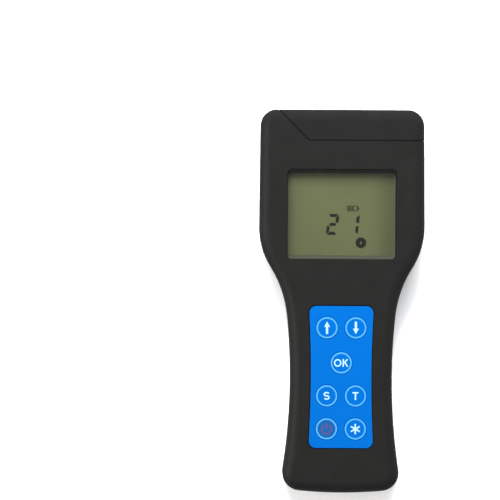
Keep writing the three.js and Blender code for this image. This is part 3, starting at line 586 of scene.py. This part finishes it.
def door_grip():
    """The thumb grip: a row of shallow bowed grooves across the door near its upper end."""
    grooves = []
    for i in range(5):
        y = door_high.y - 7 - 2.6 * i
        half = 8 - 0.9 * i
        spine = [(x / 8 * half, y + 1.8 * (1 - (x / 8) ** 2)) for x in range(-8, 9)]
        lower = [(x, py - 0.65) for x, py in spine]
        upper = [(x, py + 0.65) for x, py in reversed(spine)]
        grooves.append(prism(lower + upper, (-1, 1.0)))
    return grooves


def battery_door():
    flange_z = (door_thickness - DOOR_FLANGE_THICKNESS, door_thickness)
    return carved(
        wide(DOOR_WIDTH, (-FAR, door_high.y), (0, door_thickness)),
        ("add", wide(DOOR_WIDTH + 2 * DOOR_FLANGE, (-FAR, door_high.y), flange_z)),
        ("keep", case_block(GAP)),
        ("cut", wide(bay_width + 1, bay, (2.2, FAR))),
        *each("cut", door_grip()),
    )


# ------------------------------------------------------------
# Probe: cap, nose, pins and their insulators
# ------------------------------------------------------------

nose_low, nose_high = node_box("probe_nose")


def probe_cap():
    pocket = prism([
        (mouth_left, seam_y - WALL), (FAR, seam_y - WALL), (FAR, FAR),
        (mouth_left - FAR + seam_y, FAR), (mouth_left, seam_y),
    ], EVERYWHERE)
    return carved(
        case_block(0),
        ("keep", cap_region(-GAP / 2)),
        ("cut", carved(pocket, ("keep", case_block(WALL)))),
        *each("cut", seam_easing()),
    )


def pin_places():
    return [node_box(f"probe_pin_{i}") for i in (1, 2)]


def probe_nose():
    inset = WALL + GAP
    left = mouth_left + GAP
    y = (nose_low.y, nose_high.y)
    hollow = carved(
        case_block(inset + 2),
        ("keep", block((left + 2, FAR), (y[0] - 1, y[1] - 2), EVERYWHERE)),
    )
    places = [((low.x + high.x) / 2, (low.z + high.z) / 2) for low, high in pin_places()]
    return carved(
        carved(case_block(inset), ("keep", block((left, FAR), y, EVERYWHERE)), ("cut", hollow)),
        *each("add", [bar(x, (y[0], y[1] - 1), z, 4.8) for x, z in places]),
        *each("cut", [bar(x, (y[0] - 1, y[1] + 1), z, 3.3) for x, z in places]),
    )


def insulator(node):
    low, high = node_box(node)
    centre = ((low.x + high.x) / 2, 0, (low.z + high.z) / 2)
    flange = high.y - 1.2
    e = 0.25
    return lathe([
        (1.3, low.y), (3 - e, low.y), (3, low.y + e), (3, flange), (4.2, flange),
        (4.2, high.y - e), (4.2 - e, high.y), (1.3 + e, high.y), (1.3, high.y - e),
    ], centre, "y")


def probe_pin(node):
    low, high = node_box(node)
    centre = ((low.x + high.x) / 2, 0, (low.z + high.z) / 2)
    point = [(1.0 * math.sqrt(1 - t * t) * (1 - 0.35 * t) if t < 1 else 0, high.y - 3.2 * (1 - t))
             for t in [i / 10 for i in range(11)]]
    return lathe([(0, low.y), (0.85, low.y), (1, low.y + 0.15), *point], centre, "y")


# ------------------------------------------------------------
# Screws
# ------------------------------------------------------------


def cross_screw(x, y, z, head_radius, head, shank, length):
    """A pan head with a cross recess on its lower side, and a threaded shank."""
    crown = [(head_radius * sin(t), z + 0.55 * head * (1 - cos(t))) for t in quarter(8)]
    top = z + head + length
    thread = []
    pitch = 0.9
    turns = int((length - 2.5) / pitch)
    for i in range(turns):
        base = z + head + 0.8 + i * pitch
        thread += [(shank * 0.82, base), (shank, base + 0.3), (shank * 0.82, base + 0.6)]
    body = lathe(
        [*crown, (head_radius, z + head), (shank * 0.82, z + head), *thread,
         (shank * 0.82, top - 1.2), (0, top)],
        (x, y, 0), count=40)
    width, reach = shank * 0.62, head_radius * 1.15
    depth = (z - 1, z + head * 0.7)
    return carved(
        body,
        ("cut", block((x - width / 2, x + width / 2), (y - reach / 2, y + reach / 2), depth)),
        ("cut", block((x - reach / 2, x + reach / 2), (y - width / 2, y + width / 2), depth)),
    )


# ------------------------------------------------------------
# Keypad
# ------------------------------------------------------------

KEYS = ("up", "down", "ok", "s", "t", "power", "star")
key_low, key_high = node_box("key_ok")
KEY_RADIUS = (key_high.x - key_low.x) / 2
FILM_INSET = 0.15
FILM_ROUND = 0.18
RING_OUTER = 5.78
RING_INNER = 4.98
PRINT = 0.02


def key_centre(name):
    low, high = node_box(f"key_{name}")
    return (low.x + high.x) / 2, (low.y + high.y) / 2


def keypad_film():
    """The blue film, rounded over at its rim, with an embossed channel round each key."""
    low, high = keypad_low.z, keypad_high.z
    rim = [(FILM_INSET + FILM_ROUND * (1 - cos(t)), high - FILM_ROUND * (1 - sin(t))) for t in quarter(6)]
    film = turned_edge(KEYPAD_OUTLINE, [(FILM_INSET, low), *rim])
    cuts = []
    for name in KEYS:
        x, y = key_centre(name)
        channel = [(-0.22, high + 1), (-0.22, high), (-0.16, high - 0.1), (-0.04, high - 0.3),
                   (-0.04, low - 1)]
        cuts.append(turned_edge(circle(x, y, KEY_RADIUS), channel))
    return carved(film, *each("cut", cuts))


def key_cap(name):
    x, y = key_centre(name)
    top, low = key_high.z, key_low.z
    rim = [(KEY_RADIUS - 0.2 * (1 - cos(t)), top - 0.2 * (1 - sin(t))) for t in quarter(6)]
    return lathe([(0, low), (KEY_RADIUS, low), *rim, (0, top)], (x, y, 0), count=96)


def snap_dome(name):
    """A thin metal dome that the key flattens."""
    low, high = node_box(f"dome_{name}")
    x, y = key_centre(name)
    radius, height = (high.x - low.x) / 2, high.z - low.z
    shares = [i / 12 for i in range(13)]
    inner = [((radius - 0.1) * t, low.z + (height - 0.1) * (1 - t * t)) for t in shares]
    outer = [(radius * t, low.z + 0.04 + (height - 0.04) * (1 - t * t)) for t in reversed(shares)]
    return lathe(inner + [(radius, low.z)] + outer, (x, y, 0))


# ------------------------------------------------------------
# Prints: flat shapes a hair proud of what they are printed on
# ------------------------------------------------------------


def arc(cx, cy, rx, ry, start, end, steps=24):
    span = end - start
    return [(cx + rx * cos(start + span * i / steps), cy + ry * sin(start + span * i / steps))
            for i in range(steps + 1)]


def ribbon(points, width, z, centre):
    """An open stroke of even width along the points."""
    left, right = [], []
    for i, (x, y) in enumerate(points):
        ax, ay = points[max(i - 1, 0)]
        bx, by = points[min(i + 1, len(points) - 1)]
        length = math.hypot(bx - ax, by - ay)
        nx, ny = -(by - ay) / length, (bx - ax) / length
        left.append((centre[0] + x + nx * width / 2, centre[1] + y + ny * width / 2))
        right.append((centre[0] + x - nx * width / 2, centre[1] + y - ny * width / 2))
    return prism(left + right[::-1], (z, z + PRINT))


def annulus(cx, cy, outer, inner, z, count=96):
    rings = [ring(circle(cx, cy, r, count), 0, height)
             for r, height in ((outer, z), (outer, z + PRINT), (inner, z + PRINT), (inner, z))]
    return loft(rings, closed=True)


def joined(solids):
    return carved(solids[0], *each("add", solids[1:]))


def polygon(points, z, centre):
    return prism([(centre[0] + x, centre[1] + y) for x, y in points], (z, z + PRINT))


def arrow(sign, z, centre):
    shaft = [(-0.6, -3.4), (0.6, -3.4), (0.6, 0.4), (1.6, 0.4), (0, 3.4), (-1.6, 0.4), (-0.6, 0.4)]
    return polygon([(x * sign, y * sign) for x, y in shaft], z, centre)


def letters_ok(z, centre):
    height, stroke = 4.2, 0.7
    o_shape = [(centre[0] + x, centre[1] + y) for x, y in arc(-1.95, 0, 2.05, height / 2, 0, 360, 48)[:-1]]
    o_inner = [(centre[0] + x, centre[1] + y) for x, y in
               arc(-1.95, 0, 2.05 - stroke, height / 2 - stroke, 0, 360, 48)[:-1]]
    levels = ((o_shape, z), (o_shape, z + PRINT), (o_inner, z + PRINT), (o_inner, z))
    letter_o = loft([[(x, y, h) for x, y in shape] for shape, h in levels], closed=True)
    stem = ribbon([(1.1, -height / 2), (1.1, height / 2)], stroke, z, centre)
    upper = ribbon([(1.2, -0.35), (3.45, height / 2 - 0.05)], stroke, z, centre)
    lower = ribbon([(1.95, 0.4), (3.5, -height / 2 + 0.05)], stroke, z, centre)
    return [letter_o, joined([stem, upper, lower])]


def letter_s(z, centre):
    rx, ry = 1.3, 0.9
    top = arc(0, ry, rx, ry, 25, 270)
    bottom = arc(0, -ry, rx, ry, 90, -155)
    return [ribbon(top + bottom[1:], 0.75, z, centre)]


def letter_t(z, centre):
    bar_ = ribbon([(-1.7, 1.78), (1.7, 1.78)], 0.75, z, centre)
    stem = ribbon([(0, 1.78), (0, -2.15)], 0.8, z, centre)
    return [joined([bar_, stem])]


def star_sign(z, centre):
    arms = [ribbon([(-2.8 * sin(a), -2.8 * cos(a)), (2.8 * sin(a), 2.8 * cos(a))], 0.8, z, centre)
            for a in (0, 60, 120)]
    return [joined(arms)]


def power_sign(z, centre):
    open_ring = ribbon(arc(0, -0.2, 2.5, 2.5, 125, 415, 48), 0.85, z, centre)
    stem = ribbon([(0, 0.2), (0, 3.1)], 0.85, z, centre)
    return [open_ring, stem]


LEGENDS = {
    "up": lambda z, c: [arrow(1, z, c)],
    "down": lambda z, c: [arrow(-1, z, c)],
    "ok": letters_ok,
    "s": letter_s,
    "t": letter_t,
    "power": power_sign,
    "star": star_sign,
}

# ------------------------------------------------------------
# Display
# ------------------------------------------------------------

lcd_low, lcd_high = node_box("lcd_panel")
FILM_EDGE = 1.6
# Widths of the black band under the lens that paints the window rim's shade, widest at the top.
BORDER_LEFT = 0.25
BORDER_RIGHT = 0.7
BORDER_TOP = 1.8
BORDER_BOTTOM = 0.2
BORDER_OVERLAP = 1.5


def shade_border():
    """A black band under the lens, widest along the top: painted shade that stands in for the shadow of the
    window's rim.
    """
    width = window_width - BORDER_LEFT - BORDER_RIGHT
    middle = (BORDER_LEFT - BORDER_RIGHT) / 2
    corners = rounded_rectangle(width, window_low + BORDER_BOTTOM, window_high - BORDER_TOP, 2)
    opening = prism([(x + middle, y) for x, y, *_ in corners], EVERYWHERE)
    z = (lens_low.z - 0.03, lens_low.z - 0.01)
    outer = wide(window_width + 2 * BORDER_OVERLAP,
                 (window_low - BORDER_OVERLAP, window_high + BORDER_OVERLAP), z)
    return carved(outer, ("cut", opening))


def lcd_glass():
    points = rounded_rectangle(lcd_high.x - lcd_low.x, lcd_low.y, lcd_high.y, 0.6)
    e = 0.15
    top = lcd_high.z - 0.2
    return turned_edge(points, [(e, lcd_low.z), (0, lcd_low.z + e), (0, top - e), (e, top)])


def lcd_film():
    """The olive polariser on the glass, short of the window's right and lower edges."""
    half = window_width / 2
    x = (-half - 1, half - FILM_EDGE)
    y = (window_low + FILM_EDGE + 0.4, window_high + 1)
    return block(x, y, (lcd_high.z - 0.2, lcd_high.z - 0.05))


def digit(which, z, centre, width=4.6, height=9.8, stroke=1.7, gap=0.2, slant=0.1):
    """The lit bars of a seven-bar digit, with blunt mitres where they meet, leaning with the slant."""
    x, y, half = width / 2, height / 2, stroke / 2
    tip = stroke * 0.34
    outer_x, inner_x, outer_y, inner_y = x + half, x - half, y + half, y - half
    end_x, end_y = outer_x - gap - tip, outer_y - gap - tip
    end = [(-end_x, outer_y), (end_x, outer_y), (end_x, outer_y - tip), (inner_x - gap, inner_y),
           (-inner_x + gap, inner_y), (-end_x, outer_y - tip)]
    side = [(outer_x - tip, end_y), (outer_x, end_y), (outer_x, gap + tip), (inner_x, half + gap),
            (inner_x, inner_y - gap)]
    middle = [(-x + gap, 0), (-inner_x + gap, half), (inner_x - gap, half), (x - gap, 0),
              (inner_x - gap, -half), (-inner_x + gap, -half)]
    bars = {"a": (end, 1, 1), "b": (side, 1, 1), "c": (side, 1, -1), "d": (end, 1, -1),
            "e": (side, -1, -1), "f": (side, -1, 1), "g": (middle, 1, 1)}
    made = []
    for letter in which:
        corners, turn_x, turn_y = bars[letter]
        corners = [(px * turn_x + py * turn_y * slant, py * turn_y) for px, py in corners]
        made.append(polygon(corners[::turn_x * turn_y], z, centre))
    return made


def battery_sign(z, centre):
    outer = polygon([(-3.3, -1.5), (2.7, -1.5), (2.7, -0.7), (3.4, -0.7), (3.4, 0.7), (2.7, 0.7),
                     (2.7, 1.5), (-3.3, 1.5)], z, centre)
    inner = prism([(centre[0] + x, centre[1] + y) for x, y in
                   ((-2.8, -1), (2.2, -1), (2.2, 1), (-2.8, 1))], (z - 1, z + 1))
    cells = [polygon([(x, -0.75), (x + 1.3, -0.75), (x + 1.3, 0.75), (x, 0.75)], z, centre)
             for x in (-2.5, -0.85)]
    return [carved(outer, ("cut", inner)), *cells]


def drop_sign(z, centre):
    """A round badge with a drop of water left clear in it."""
    bowl = arc(0, -0.25, 0.55, 0.55, 155, 385, 30)
    drop = prism([(centre[0] + x, centre[1] + y) for x, y in [*bowl, (0, 0.95)]], (z - 1, z + 1))
    return [carved(rod(*centre, (z, z + PRINT), 2.95), ("cut", drop))]


# ------------------------------------------------------------
# Battery and its snap
# ------------------------------------------------------------


def upright_block(low, high, radius):
    """A box with rounded long edges, lying along Y, its ends eased."""
    width, depth = high.x - low.x, high.z - low.z
    middle_x, middle_z = (low.x + high.x) / 2, (low.z + high.z) / 2
    section = rounded_rectangle(width, -depth / 2, depth / 2, radius)
    rings = []
    e = 0.35
    for inset, y in ((e, low.y), (e * 0.3, low.y + e * 0.3), (0, low.y + e), (0, high.y - e),
                     (e * 0.3, high.y - e * 0.3), (e, high.y)):
        rings.append([(middle_x + x - nx * inset, y, middle_z + z - nz * inset)
                      for x, z, nx, nz in section])
    return loft(rings)


TERMINALS = (-6.35, 6.35)
TERMINAL_HEIGHT = 2.6
battery_top = battery_high.y - TERMINAL_HEIGHT
battery_middle_z = (battery_low.z + battery_high.z) / 2


def battery_jacket():
    high = Vector((battery_high.x, battery_top - 0.6, battery_high.z))
    return upright_block(battery_low, high, 2.2)


def battery_end():
    low = Vector((battery_low.x + 0.5, battery_top - 0.6, battery_low.z + 0.5))
    high = Vector((battery_high.x - 0.5, battery_top, battery_high.z - 0.5))
    return upright_block(low, high, 1.8)


def battery_terminals():
    y, z = battery_top, battery_middle_z
    stud_profile = [(0, y), (3, y), (3, y + 0.5), (2.6, y + 0.8), (2.6, y + 2.1), (2.3, y + 2.5),
                    (0, y + 2.5)]
    cup_profile = [(0, y), (3, y), (3, y + 2.4), (2.7, y + 2.5), (2.4, y + 2.4), (2.4, y + 0.6),
                   (0, y + 0.6)]
    stud = lathe(stud_profile, (TERMINALS[0], 0, z), "y")
    cup = lathe(cup_profile, (TERMINALS[1], 0, z), "y", 6)
    return [stud, cup]


def battery_snap():
    body = upright_block(snap_low, snap_high, 3)
    depth = (snap_low.y - 1, snap_low.y + TERMINAL_HEIGHT + GAP)
    return carved(body, *each("cut", [bar(x, depth, battery_middle_z, 4.1) for x in TERMINALS]))


# ------------------------------------------------------------
# Materials
# ------------------------------------------------------------


def linear(r, g, b):
    """An sRGB colour, 0 to 255, as linear values."""
    return [((c / 255 + 0.055) / 1.055) ** 2.4 if c > 10 else c / 255 / 12.92 for c in (r, g, b)]


def surface(name, colour, roughness, metallic=0.0, vary=0.08, grain=None, lumps=90.0, **sockets):
    """A Principled material whose colour and roughness wander with a soft noise. grain is (size in
    millimetres, depth in millimetres) of a fine moulded or brushed texture."""
    material = bpy.data.materials.new(name)
    material.use_nodes = True
    nodes, links = material.node_tree.nodes, material.node_tree.links
    shader = nodes["Principled BSDF"]
    shader.inputs["Metallic"].default_value = metallic
    for socket, value in sockets.items():
        shader.inputs[socket.replace("_", " ")].default_value = value
    place = nodes.new("ShaderNodeTexCoord")
    cloud = nodes.new("ShaderNodeTexNoise")
    cloud.inputs["Scale"].default_value = lumps
    cloud.inputs["Detail"].default_value = 4
    links.new(place.outputs["Object"], cloud.inputs["Vector"])
    shade = nodes.new("ShaderNodeValToRGB")
    base = linear(*colour)
    shade.color_ramp.elements[0].position = 0.3
    shade.color_ramp.elements[0].color = (*[c * (1 - vary) for c in base], 1)
    shade.color_ramp.elements[1].position = 0.7
    shade.color_ramp.elements[1].color = (*[min(c * (1 + vary), 1) for c in base], 1)
    links.new(cloud.outputs["Fac"], shade.inputs["Fac"])
    links.new(shade.outputs["Color"], shader.inputs["Base Color"])
    gloss = nodes.new("ShaderNodeMapRange")
    gloss.inputs["To Min"].default_value = max(roughness - 0.04, 0.02)
    gloss.inputs["To Max"].default_value = roughness + 0.04
    links.new(cloud.outputs["Fac"], gloss.inputs["Value"])
    links.new(gloss.outputs["Result"], shader.inputs["Roughness"])
    if grain:
        size, depth = grain
        pits = nodes.new("ShaderNodeTexNoise")
        pits.inputs["Scale"].default_value = 1 / (size * MM)
        pits.inputs["Detail"].default_value = 2
        links.new(place.outputs["Object"], pits.inputs["Vector"])
        bump = nodes.new("ShaderNodeBump")
        bump.inputs["Strength"].default_value = 0.6
        bump.inputs["Distance"].default_value = depth * MM
        links.new(pits.outputs["Fac"], bump.inputs["Height"])
        links.new(bump.outputs["Normal"], shader.inputs["Normal"])
    return material


def paint_edge_shade(material, shade_fades):
    """Paints shade into a colour near the edges of a lit panel, standing in for the shadow that the rim
    above it casts.
    Each fade is (axis, edge, reach, dimness), in millimetres: the painted shade is gone at a distance of
    reach from the edge."""
    nodes, links = material.node_tree.nodes, material.node_tree.links
    shader = nodes["Principled BSDF"]
    colour = shader.inputs["Base Color"].links[0].from_socket
    place = nodes.new("ShaderNodeTexCoord")
    axes = nodes.new("ShaderNodeSeparateXYZ")
    links.new(place.outputs["Object"], axes.inputs["Vector"])
    for axis, edge, reach, dimness in shade_fades:
        fade = nodes.new("ShaderNodeMapRange")
        fade.interpolation_type = "SMOOTHSTEP"
        fade.inputs["From Min"].default_value = edge * MM
        fade.inputs["From Max"].default_value = (edge + reach) * MM
        fade.inputs["To Min"].default_value = 1 - dimness
        fade.inputs["To Max"].default_value = 1
        links.new(axes.outputs[axis], fade.inputs["Value"])
        dimmed = nodes.new("ShaderNodeVectorMath")
        dimmed.operation = "SCALE"
        links.new(colour, dimmed.inputs["Vector"])
        links.new(fade.outputs["Result"], dimmed.inputs["Scale"])
        colour = dimmed.outputs["Vector"]
    links.new(colour, shader.inputs["Base Color"])


MATERIALS = {
    "shell": surface("shell_plastic", (22.6, 22.1, 21.2), 0.5, grain=(0.55, 0.03), Specular_IOR_Level=0.11),
    "film": surface("keypad_film", (0, 75, 143), 0.4, vary=0.02, grain=(0.35, 0.006),
                    Specular_IOR_Level=0.06),
    "ring_print": surface("ring_print", (60, 126, 178), 0.4, vary=0.02, Specular_IOR_Level=0.06),
    "legend_print": surface("legend_print", (136, 170, 186), 0.4, vary=0.02, Specular_IOR_Level=0.06),
    "power_print": surface("power_print", (68, 53, 100), 0.4, vary=0.04, Specular_IOR_Level=0.06),
    "power_fill": surface("power_fill", (17, 66, 112), 0.4, vary=0.04, Specular_IOR_Level=0.06),
    "lcd_glass": surface("lcd_glass", (66, 68, 54), 0.2, vary=0.04),
    "lcd_film": surface("lcd_film", (76.5, 80, 52), 0.4, vary=0.05, lumps=30.0, Specular_IOR_Level=0.15),
    "lcd_ink": surface("lcd_ink", (13, 16, 8), 0.4, vary=0.06, Specular_IOR_Level=0.15),
    "lcd_faint": surface("lcd_faint", (26, 31, 16), 0.4, vary=0.06, Specular_IOR_Level=0.15),
    "lens": surface("lens", (12, 13, 12), 0.06, vary=0.01, Alpha=0.1, IOR=2.2),
    # Painted shade: the black band under the lens that stands for the window rim's shadow.
    "shade_border_ink": surface("shade_border_ink", (14, 14, 14), 0.5, Specular_IOR_Level=0.1),
    # Dark adhesive, partly its own colour and partly painted shade: it also colours the keypad circuit so
    # the gap round the film reads shaded.
    "adhesive_and_gap_shade": surface("adhesive_and_gap_shade", (20, 20, 22), 0.6, Specular_IOR_Level=0.2),
    "nose": surface("nose_plastic", (36, 37, 37), 0.5, grain=(0.4, 0.02)),
    "insulator": surface("insulator", (188, 186, 178), 0.35, vary=0.03),
    "steel": surface("steel", (176, 178, 180), 0.3, 1.0, vary=0.05, grain=(0.25, 0.004)),
    "brass": surface("brass", (200, 165, 92), 0.3, 1.0, vary=0.05, grain=(0.25, 0.004)),
    "tin": surface("tin", (198, 201, 204), 0.32, 1.0, vary=0.05, grain=(0.4, 0.004)),
    "rubber": surface("rubber", (24, 24, 24), 0.8, grain=(0.5, 0.02)),
    "white": surface("white_plastic", (184, 184, 180), 0.45, vary=0.03, grain=(0.4, 0.01)),
    "backlight": surface("backlight", (172, 184, 160), 0.4, vary=0.03),
    "clear_film": surface("clear_film", (150, 138, 104), 0.3, vary=0.03),
    "board": surface("board", (18, 72, 38), 0.4, vary=0.12, grain=(0.8, 0.01)),
    "chip": surface("chip", (22, 23, 25), 0.5, grain=(0.3, 0.01)),
    "jacket": surface("battery_jacket", (40, 62, 104), 0.3, 0.4, vary=0.05),
    "foam": surface("foam", (70, 70, 68), 0.9, grain=(0.6, 0.15)),
    "red_wire": surface("red_wire", (172, 34, 28), 0.4, vary=0.05),
    "black_wire": surface("black_wire", (26, 26, 26), 0.4, vary=0.05),
}

# ------------------------------------------------------------
# Placing pieces
# ------------------------------------------------------------

SMOOTH_ANGLE = 32


def smooth(obj):
    obj.data.polygons.foreach_set("use_smooth", [True] * len(obj.data.polygons))
    obj.data.set_sharp_from_angle(angle=math.radians(SMOOTH_ANGLE))


def place(obj, name, body, material, slot=None, stands_for=()):
    """Scales a solid to metres and gives it its name, body and finish."""
    obj.name = name
    obj.data.name = name
    split_big_faces(obj.data)
    obj.data.transform(Matrix.Scale(MM, 4))
    obj.data.materials.clear()
    obj.data.materials.append(MATERIALS[material])
    smooth(obj)
    weigh = obj.modifiers.new("even_normals", "WEIGHTED_NORMAL")
    weigh.keep_sharp = True
    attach(obj, body)
    if stands_for:
        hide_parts(*stands_for)
    return obj


def build_case():
    place(front_shell(), "front_case", "case", "shell", "shell", ["front_shell"])
    place(rear_shell(), "rear_case", "case", "shell", "shell", ["rear_shell"])
    place(probe_cap(), "cap", "probe_cap", "shell", "shell", ["probe_cap"])
    place(battery_door(), "door", "battery_door", "shell", "shell", ["battery_door"])
    for i, (x, y, z) in enumerate(CASE_SCREWS):
        place(cross_screw(x, y, z, 2.6, 2, 1.3, 17), f"cross_screw_{i + 1}", "case", "steel", "steel",
              [f"case_screw_{i + 1}"])


def build_probe():
    place(probe_nose(), "nose", "case", "nose", "nose", ["probe_nose"])
    for i in (1, 2):
        place(insulator(f"pin_insulator_{i}"), f"insulator_{i}", "case", "insulator", "insulator",
              [f"pin_insulator_{i}"])
        place(probe_pin(f"probe_pin_{i}"), f"pin_{i}", "case", "steel", "steel", [f"probe_pin_{i}"])


def build_keypad():
    place(keypad_film(), "film", "case", "film", "overlay", ["keypad_overlay"])
    top = key_high.z
    for name in KEYS:
        body = f"key_{name}"
        centre = key_centre(name)
        place(key_cap(name), f"cap_{name}", body, "film", "overlay", [f"key_{name}"])
        place(annulus(*centre, RING_OUTER, RING_INNER, top), f"ring_{name}", body, "ring_print")
        level = top
        if name == "power":
            place(rod(*centre, (top, top + PRINT / 2), RING_INNER - 0.35), "disc_power", body, "power_fill")
            level = top + PRINT / 2
        ink = "power_print" if name == "power" else "legend_print"
        for i, sign in enumerate(LEGENDS[name](level, centre)):
            place(sign, f"legend_{name}_{i + 1}", body, ink)
        dome = place(snap_dome(name), f"snap_dome_{name}", "case", "steel", "steel", [f"dome_{name}"])
        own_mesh(dome)


def build_display():
    half = window_width / 2
    # Painted shade: the olive film darkens towards the window's top, left and right edges, where the rim's
    # shadow falls.
    paint_edge_shade(MATERIALS["lcd_film"], [
        ("Y", window_high - 2, -9, 0.48), ("X", -half, 5, 0.3), ("X", half - 1, -15, 0.34),
    ])
    place(lcd_glass(), "lcd_glass", "case", "lcd_glass", "lcd", ["lcd_panel"])
    place(lcd_film(), "lcd_film", "case", "lcd_film", "lcd")
    z = lcd_high.z - 0.05
    window_middle = (window_low + window_high) / 2
    digits_y = window_middle - 5.5
    signs = [
        *[("lcd_ink", s) for s in digit("abged", z, (-5.1, digits_y))],
        *[("lcd_ink", s) for s in digit("bc", z, (6.2, digits_y))],
        *[("lcd_faint", s) for s in battery_sign(z, (6.0, digits_y + 8.8))],
        *[("lcd_ink", s) for s in drop_sign(z, (10.5, digits_y - 10.0))],
    ]
    for i, (ink, sign) in enumerate(signs):
        place(sign, f"lcd_sign_{i + 1:02d}", "case", ink)
    # Painted shade: a black band under the lens where the window rim's shadow falls.
    place(shade_border(), "shade_border", "case", "shade_border_ink", "lens")
    lens = rounded_rectangle(lens_high.x - lens_low.x, lens_low.y, lens_high.y, WINDOW_CORNER_RADIUS)
    place(slab(lens, (lens_low.z, lens_high.z)), "lens", "case", "lens", "lens", ["display_window"])


def build_battery():
    place(battery_jacket(), "battery_can", "case", "jacket", "battery_jacket", ["battery"])
    place(battery_end(), "battery_top", "case", "chip")
    for i, terminal in enumerate(battery_terminals()):
        place(terminal, f"battery_terminal_{i + 1}", "case", "tin")
    place(battery_snap(), "snap", "case", "black_wire", "black_wire", ["battery_snap"])


CARRIED_OVER = {
    "pin_nut_1": "brass", "pin_nut_2": "brass", "probe_lead_1": "red_wire", "probe_lead_2": "black_wire",
    "display_gasket": "rubber", "lcd_frame": "white", "backlight_panel": "backlight",
    # The spacer and the circuit take the dark adhesive so the gap round the keypad film shows painted shade.
    "zebra_strip_upper": "rubber", "zebra_strip_lower": "rubber", "keypad_spacer": "adhesive_and_gap_shade",
    "keypad_circuit": "adhesive_and_gap_shade", "keypad_tail": "clear_film", "main_board": "board",
    "zif_connector": "white", "battery_socket": "white", "microcontroller": "chip",
    "amplifier_chip": "chip", "buzzer": "chip", "crystal": "tin", "shield_can": "tin", "capacitor": "tin",
    "battery_lead_red": "red_wire", "battery_lead_black": "black_wire", "battery_pad": "foam",
    **{f"board_screw_{i}": "steel" for i in range(1, 5)},
}


LEADS = ("probe_lead_1", "probe_lead_2", "battery_lead_red", "battery_lead_black")
EASED_EDGE = 0.12


def finish_carried_over():
    for node, material in CARRIED_OVER.items():
        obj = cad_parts[node]
        obj.data.materials.clear()
        obj.data.materials.append(MATERIALS[material])
        smooth(obj)
        if node not in LEADS:
            edge = obj.modifiers.new("eased_edges", "BEVEL")
            edge.width = EASED_EDGE * MM
            edge.segments = 2
            edge.limit_method = "ANGLE"
            edge.angle_limit = math.radians(SMOOTH_ANGLE)
            edge.harden_normals = True


# ------------------------------------------------------------
# Floor, light and camera
# ------------------------------------------------------------

FLOOR_SIZE = 14.0


def build_floor():
    half = FLOOR_SIZE / 2
    mesh = bpy.data.meshes.new("floor")
    corners = [(-half, -half, 0), (half, -half, 0), (half, half, 0), (-half, half, 0)]
    mesh.from_pydata(corners, [], [(0, 1, 2, 3)])
    floor = bpy.data.objects.new("floor", mesh)
    bpy.context.scene.collection.objects.link(floor)
    floor.data.materials.append(surface("floor_paper", (250, 250, 250), 0.9, vary=0.005,
                                        Emission_Color=(1, 1, 1, 1), Emission_Strength=0.15))
    floor.location.z = -0.0002
    floor.visible_glossy = False


def aimed(light, towards):
    """Turns a light so that it shines from the direction towards."""
    light.rotation_mode = "QUATERNION"
    light.rotation_quaternion = towards.to_track_quat("Z", "Y")


def add_sun(name, azimuth, elevation, strength, angle, colour, glossy=True):
    """A soft light from a compass direction: azimuth 0 is +Y and 90 is +X."""
    data = bpy.data.lights.new(name, "SUN")
    data.energy = strength
    data.angle = math.radians(angle)
    data.color = colour
    light = bpy.data.objects.new(name, data)
    light.visible_glossy = glossy
    bpy.context.scene.collection.objects.link(light)
    aimed(light, Vector((sin(azimuth) * cos(elevation), cos(azimuth) * cos(elevation), sin(elevation))))


def add_softbox(name, spot, target, size, power, colour, glossy=True):
    data = bpy.data.lights.new(name, "AREA")
    data.shape = "RECTANGLE"
    data.size, data.size_y = size
    data.energy = power
    data.color = colour
    light = bpy.data.objects.new(name, data)
    light.visible_glossy = glossy
    bpy.context.scene.collection.objects.link(light)
    light.location = spot
    aimed(light, Vector(spot) - Vector(target))


def build_light():
    world = bpy.data.worlds.new("studio")
    world.use_nodes = True
    background = world.node_tree.nodes["Background"]
    background.inputs["Color"].default_value = (1, 1, 1, 1)
    background.inputs["Strength"].default_value = 0.6
    bpy.context.scene.world = world
    add_sun("key", -4, 45, 3.8, 14, (0.98, 0.99, 1.0), glossy=False)
    add_sun("left", -95, 32, 1.7, 36, (1.0, 0.96, 0.92))
    add_softbox("head_fill", (-0.02, 0.45, 0.5), (0, 0.06, 0.03), (0.5, 0.35), 9, (0.9, 0.94, 1.0),
                glossy=False)


CAMERA_HEIGHT = 2.5
VIEW_WIDTH = 0.276
VIEW_CENTRE = (-0.0504, 0.0278)
VIEW_ROLL = 0.35


def build_camera():
    """Straight above the middle of the view, with the meter lying to the right of it."""
    data = bpy.data.cameras.new("camera")
    data.sensor_width = 36
    data.lens = data.sensor_width * (CAMERA_HEIGHT - PARTING_HEIGHT * MM) / VIEW_WIDTH
    data.clip_start = 0.05
    data.clip_end = 50
    camera = bpy.data.objects.new("camera", data)
    bpy.context.scene.collection.objects.link(camera)
    camera.location = (*VIEW_CENTRE, CAMERA_HEIGHT)
    camera.rotation_euler = (0, 0, math.radians(VIEW_ROLL))
    bpy.context.scene.camera = camera


build_camera()
build_case()
build_probe()
build_keypad()
build_display()
build_battery()
finish_carried_over()
build_floor()
build_light()
bpy.context.scene.view_settings.view_transform = "Standard"
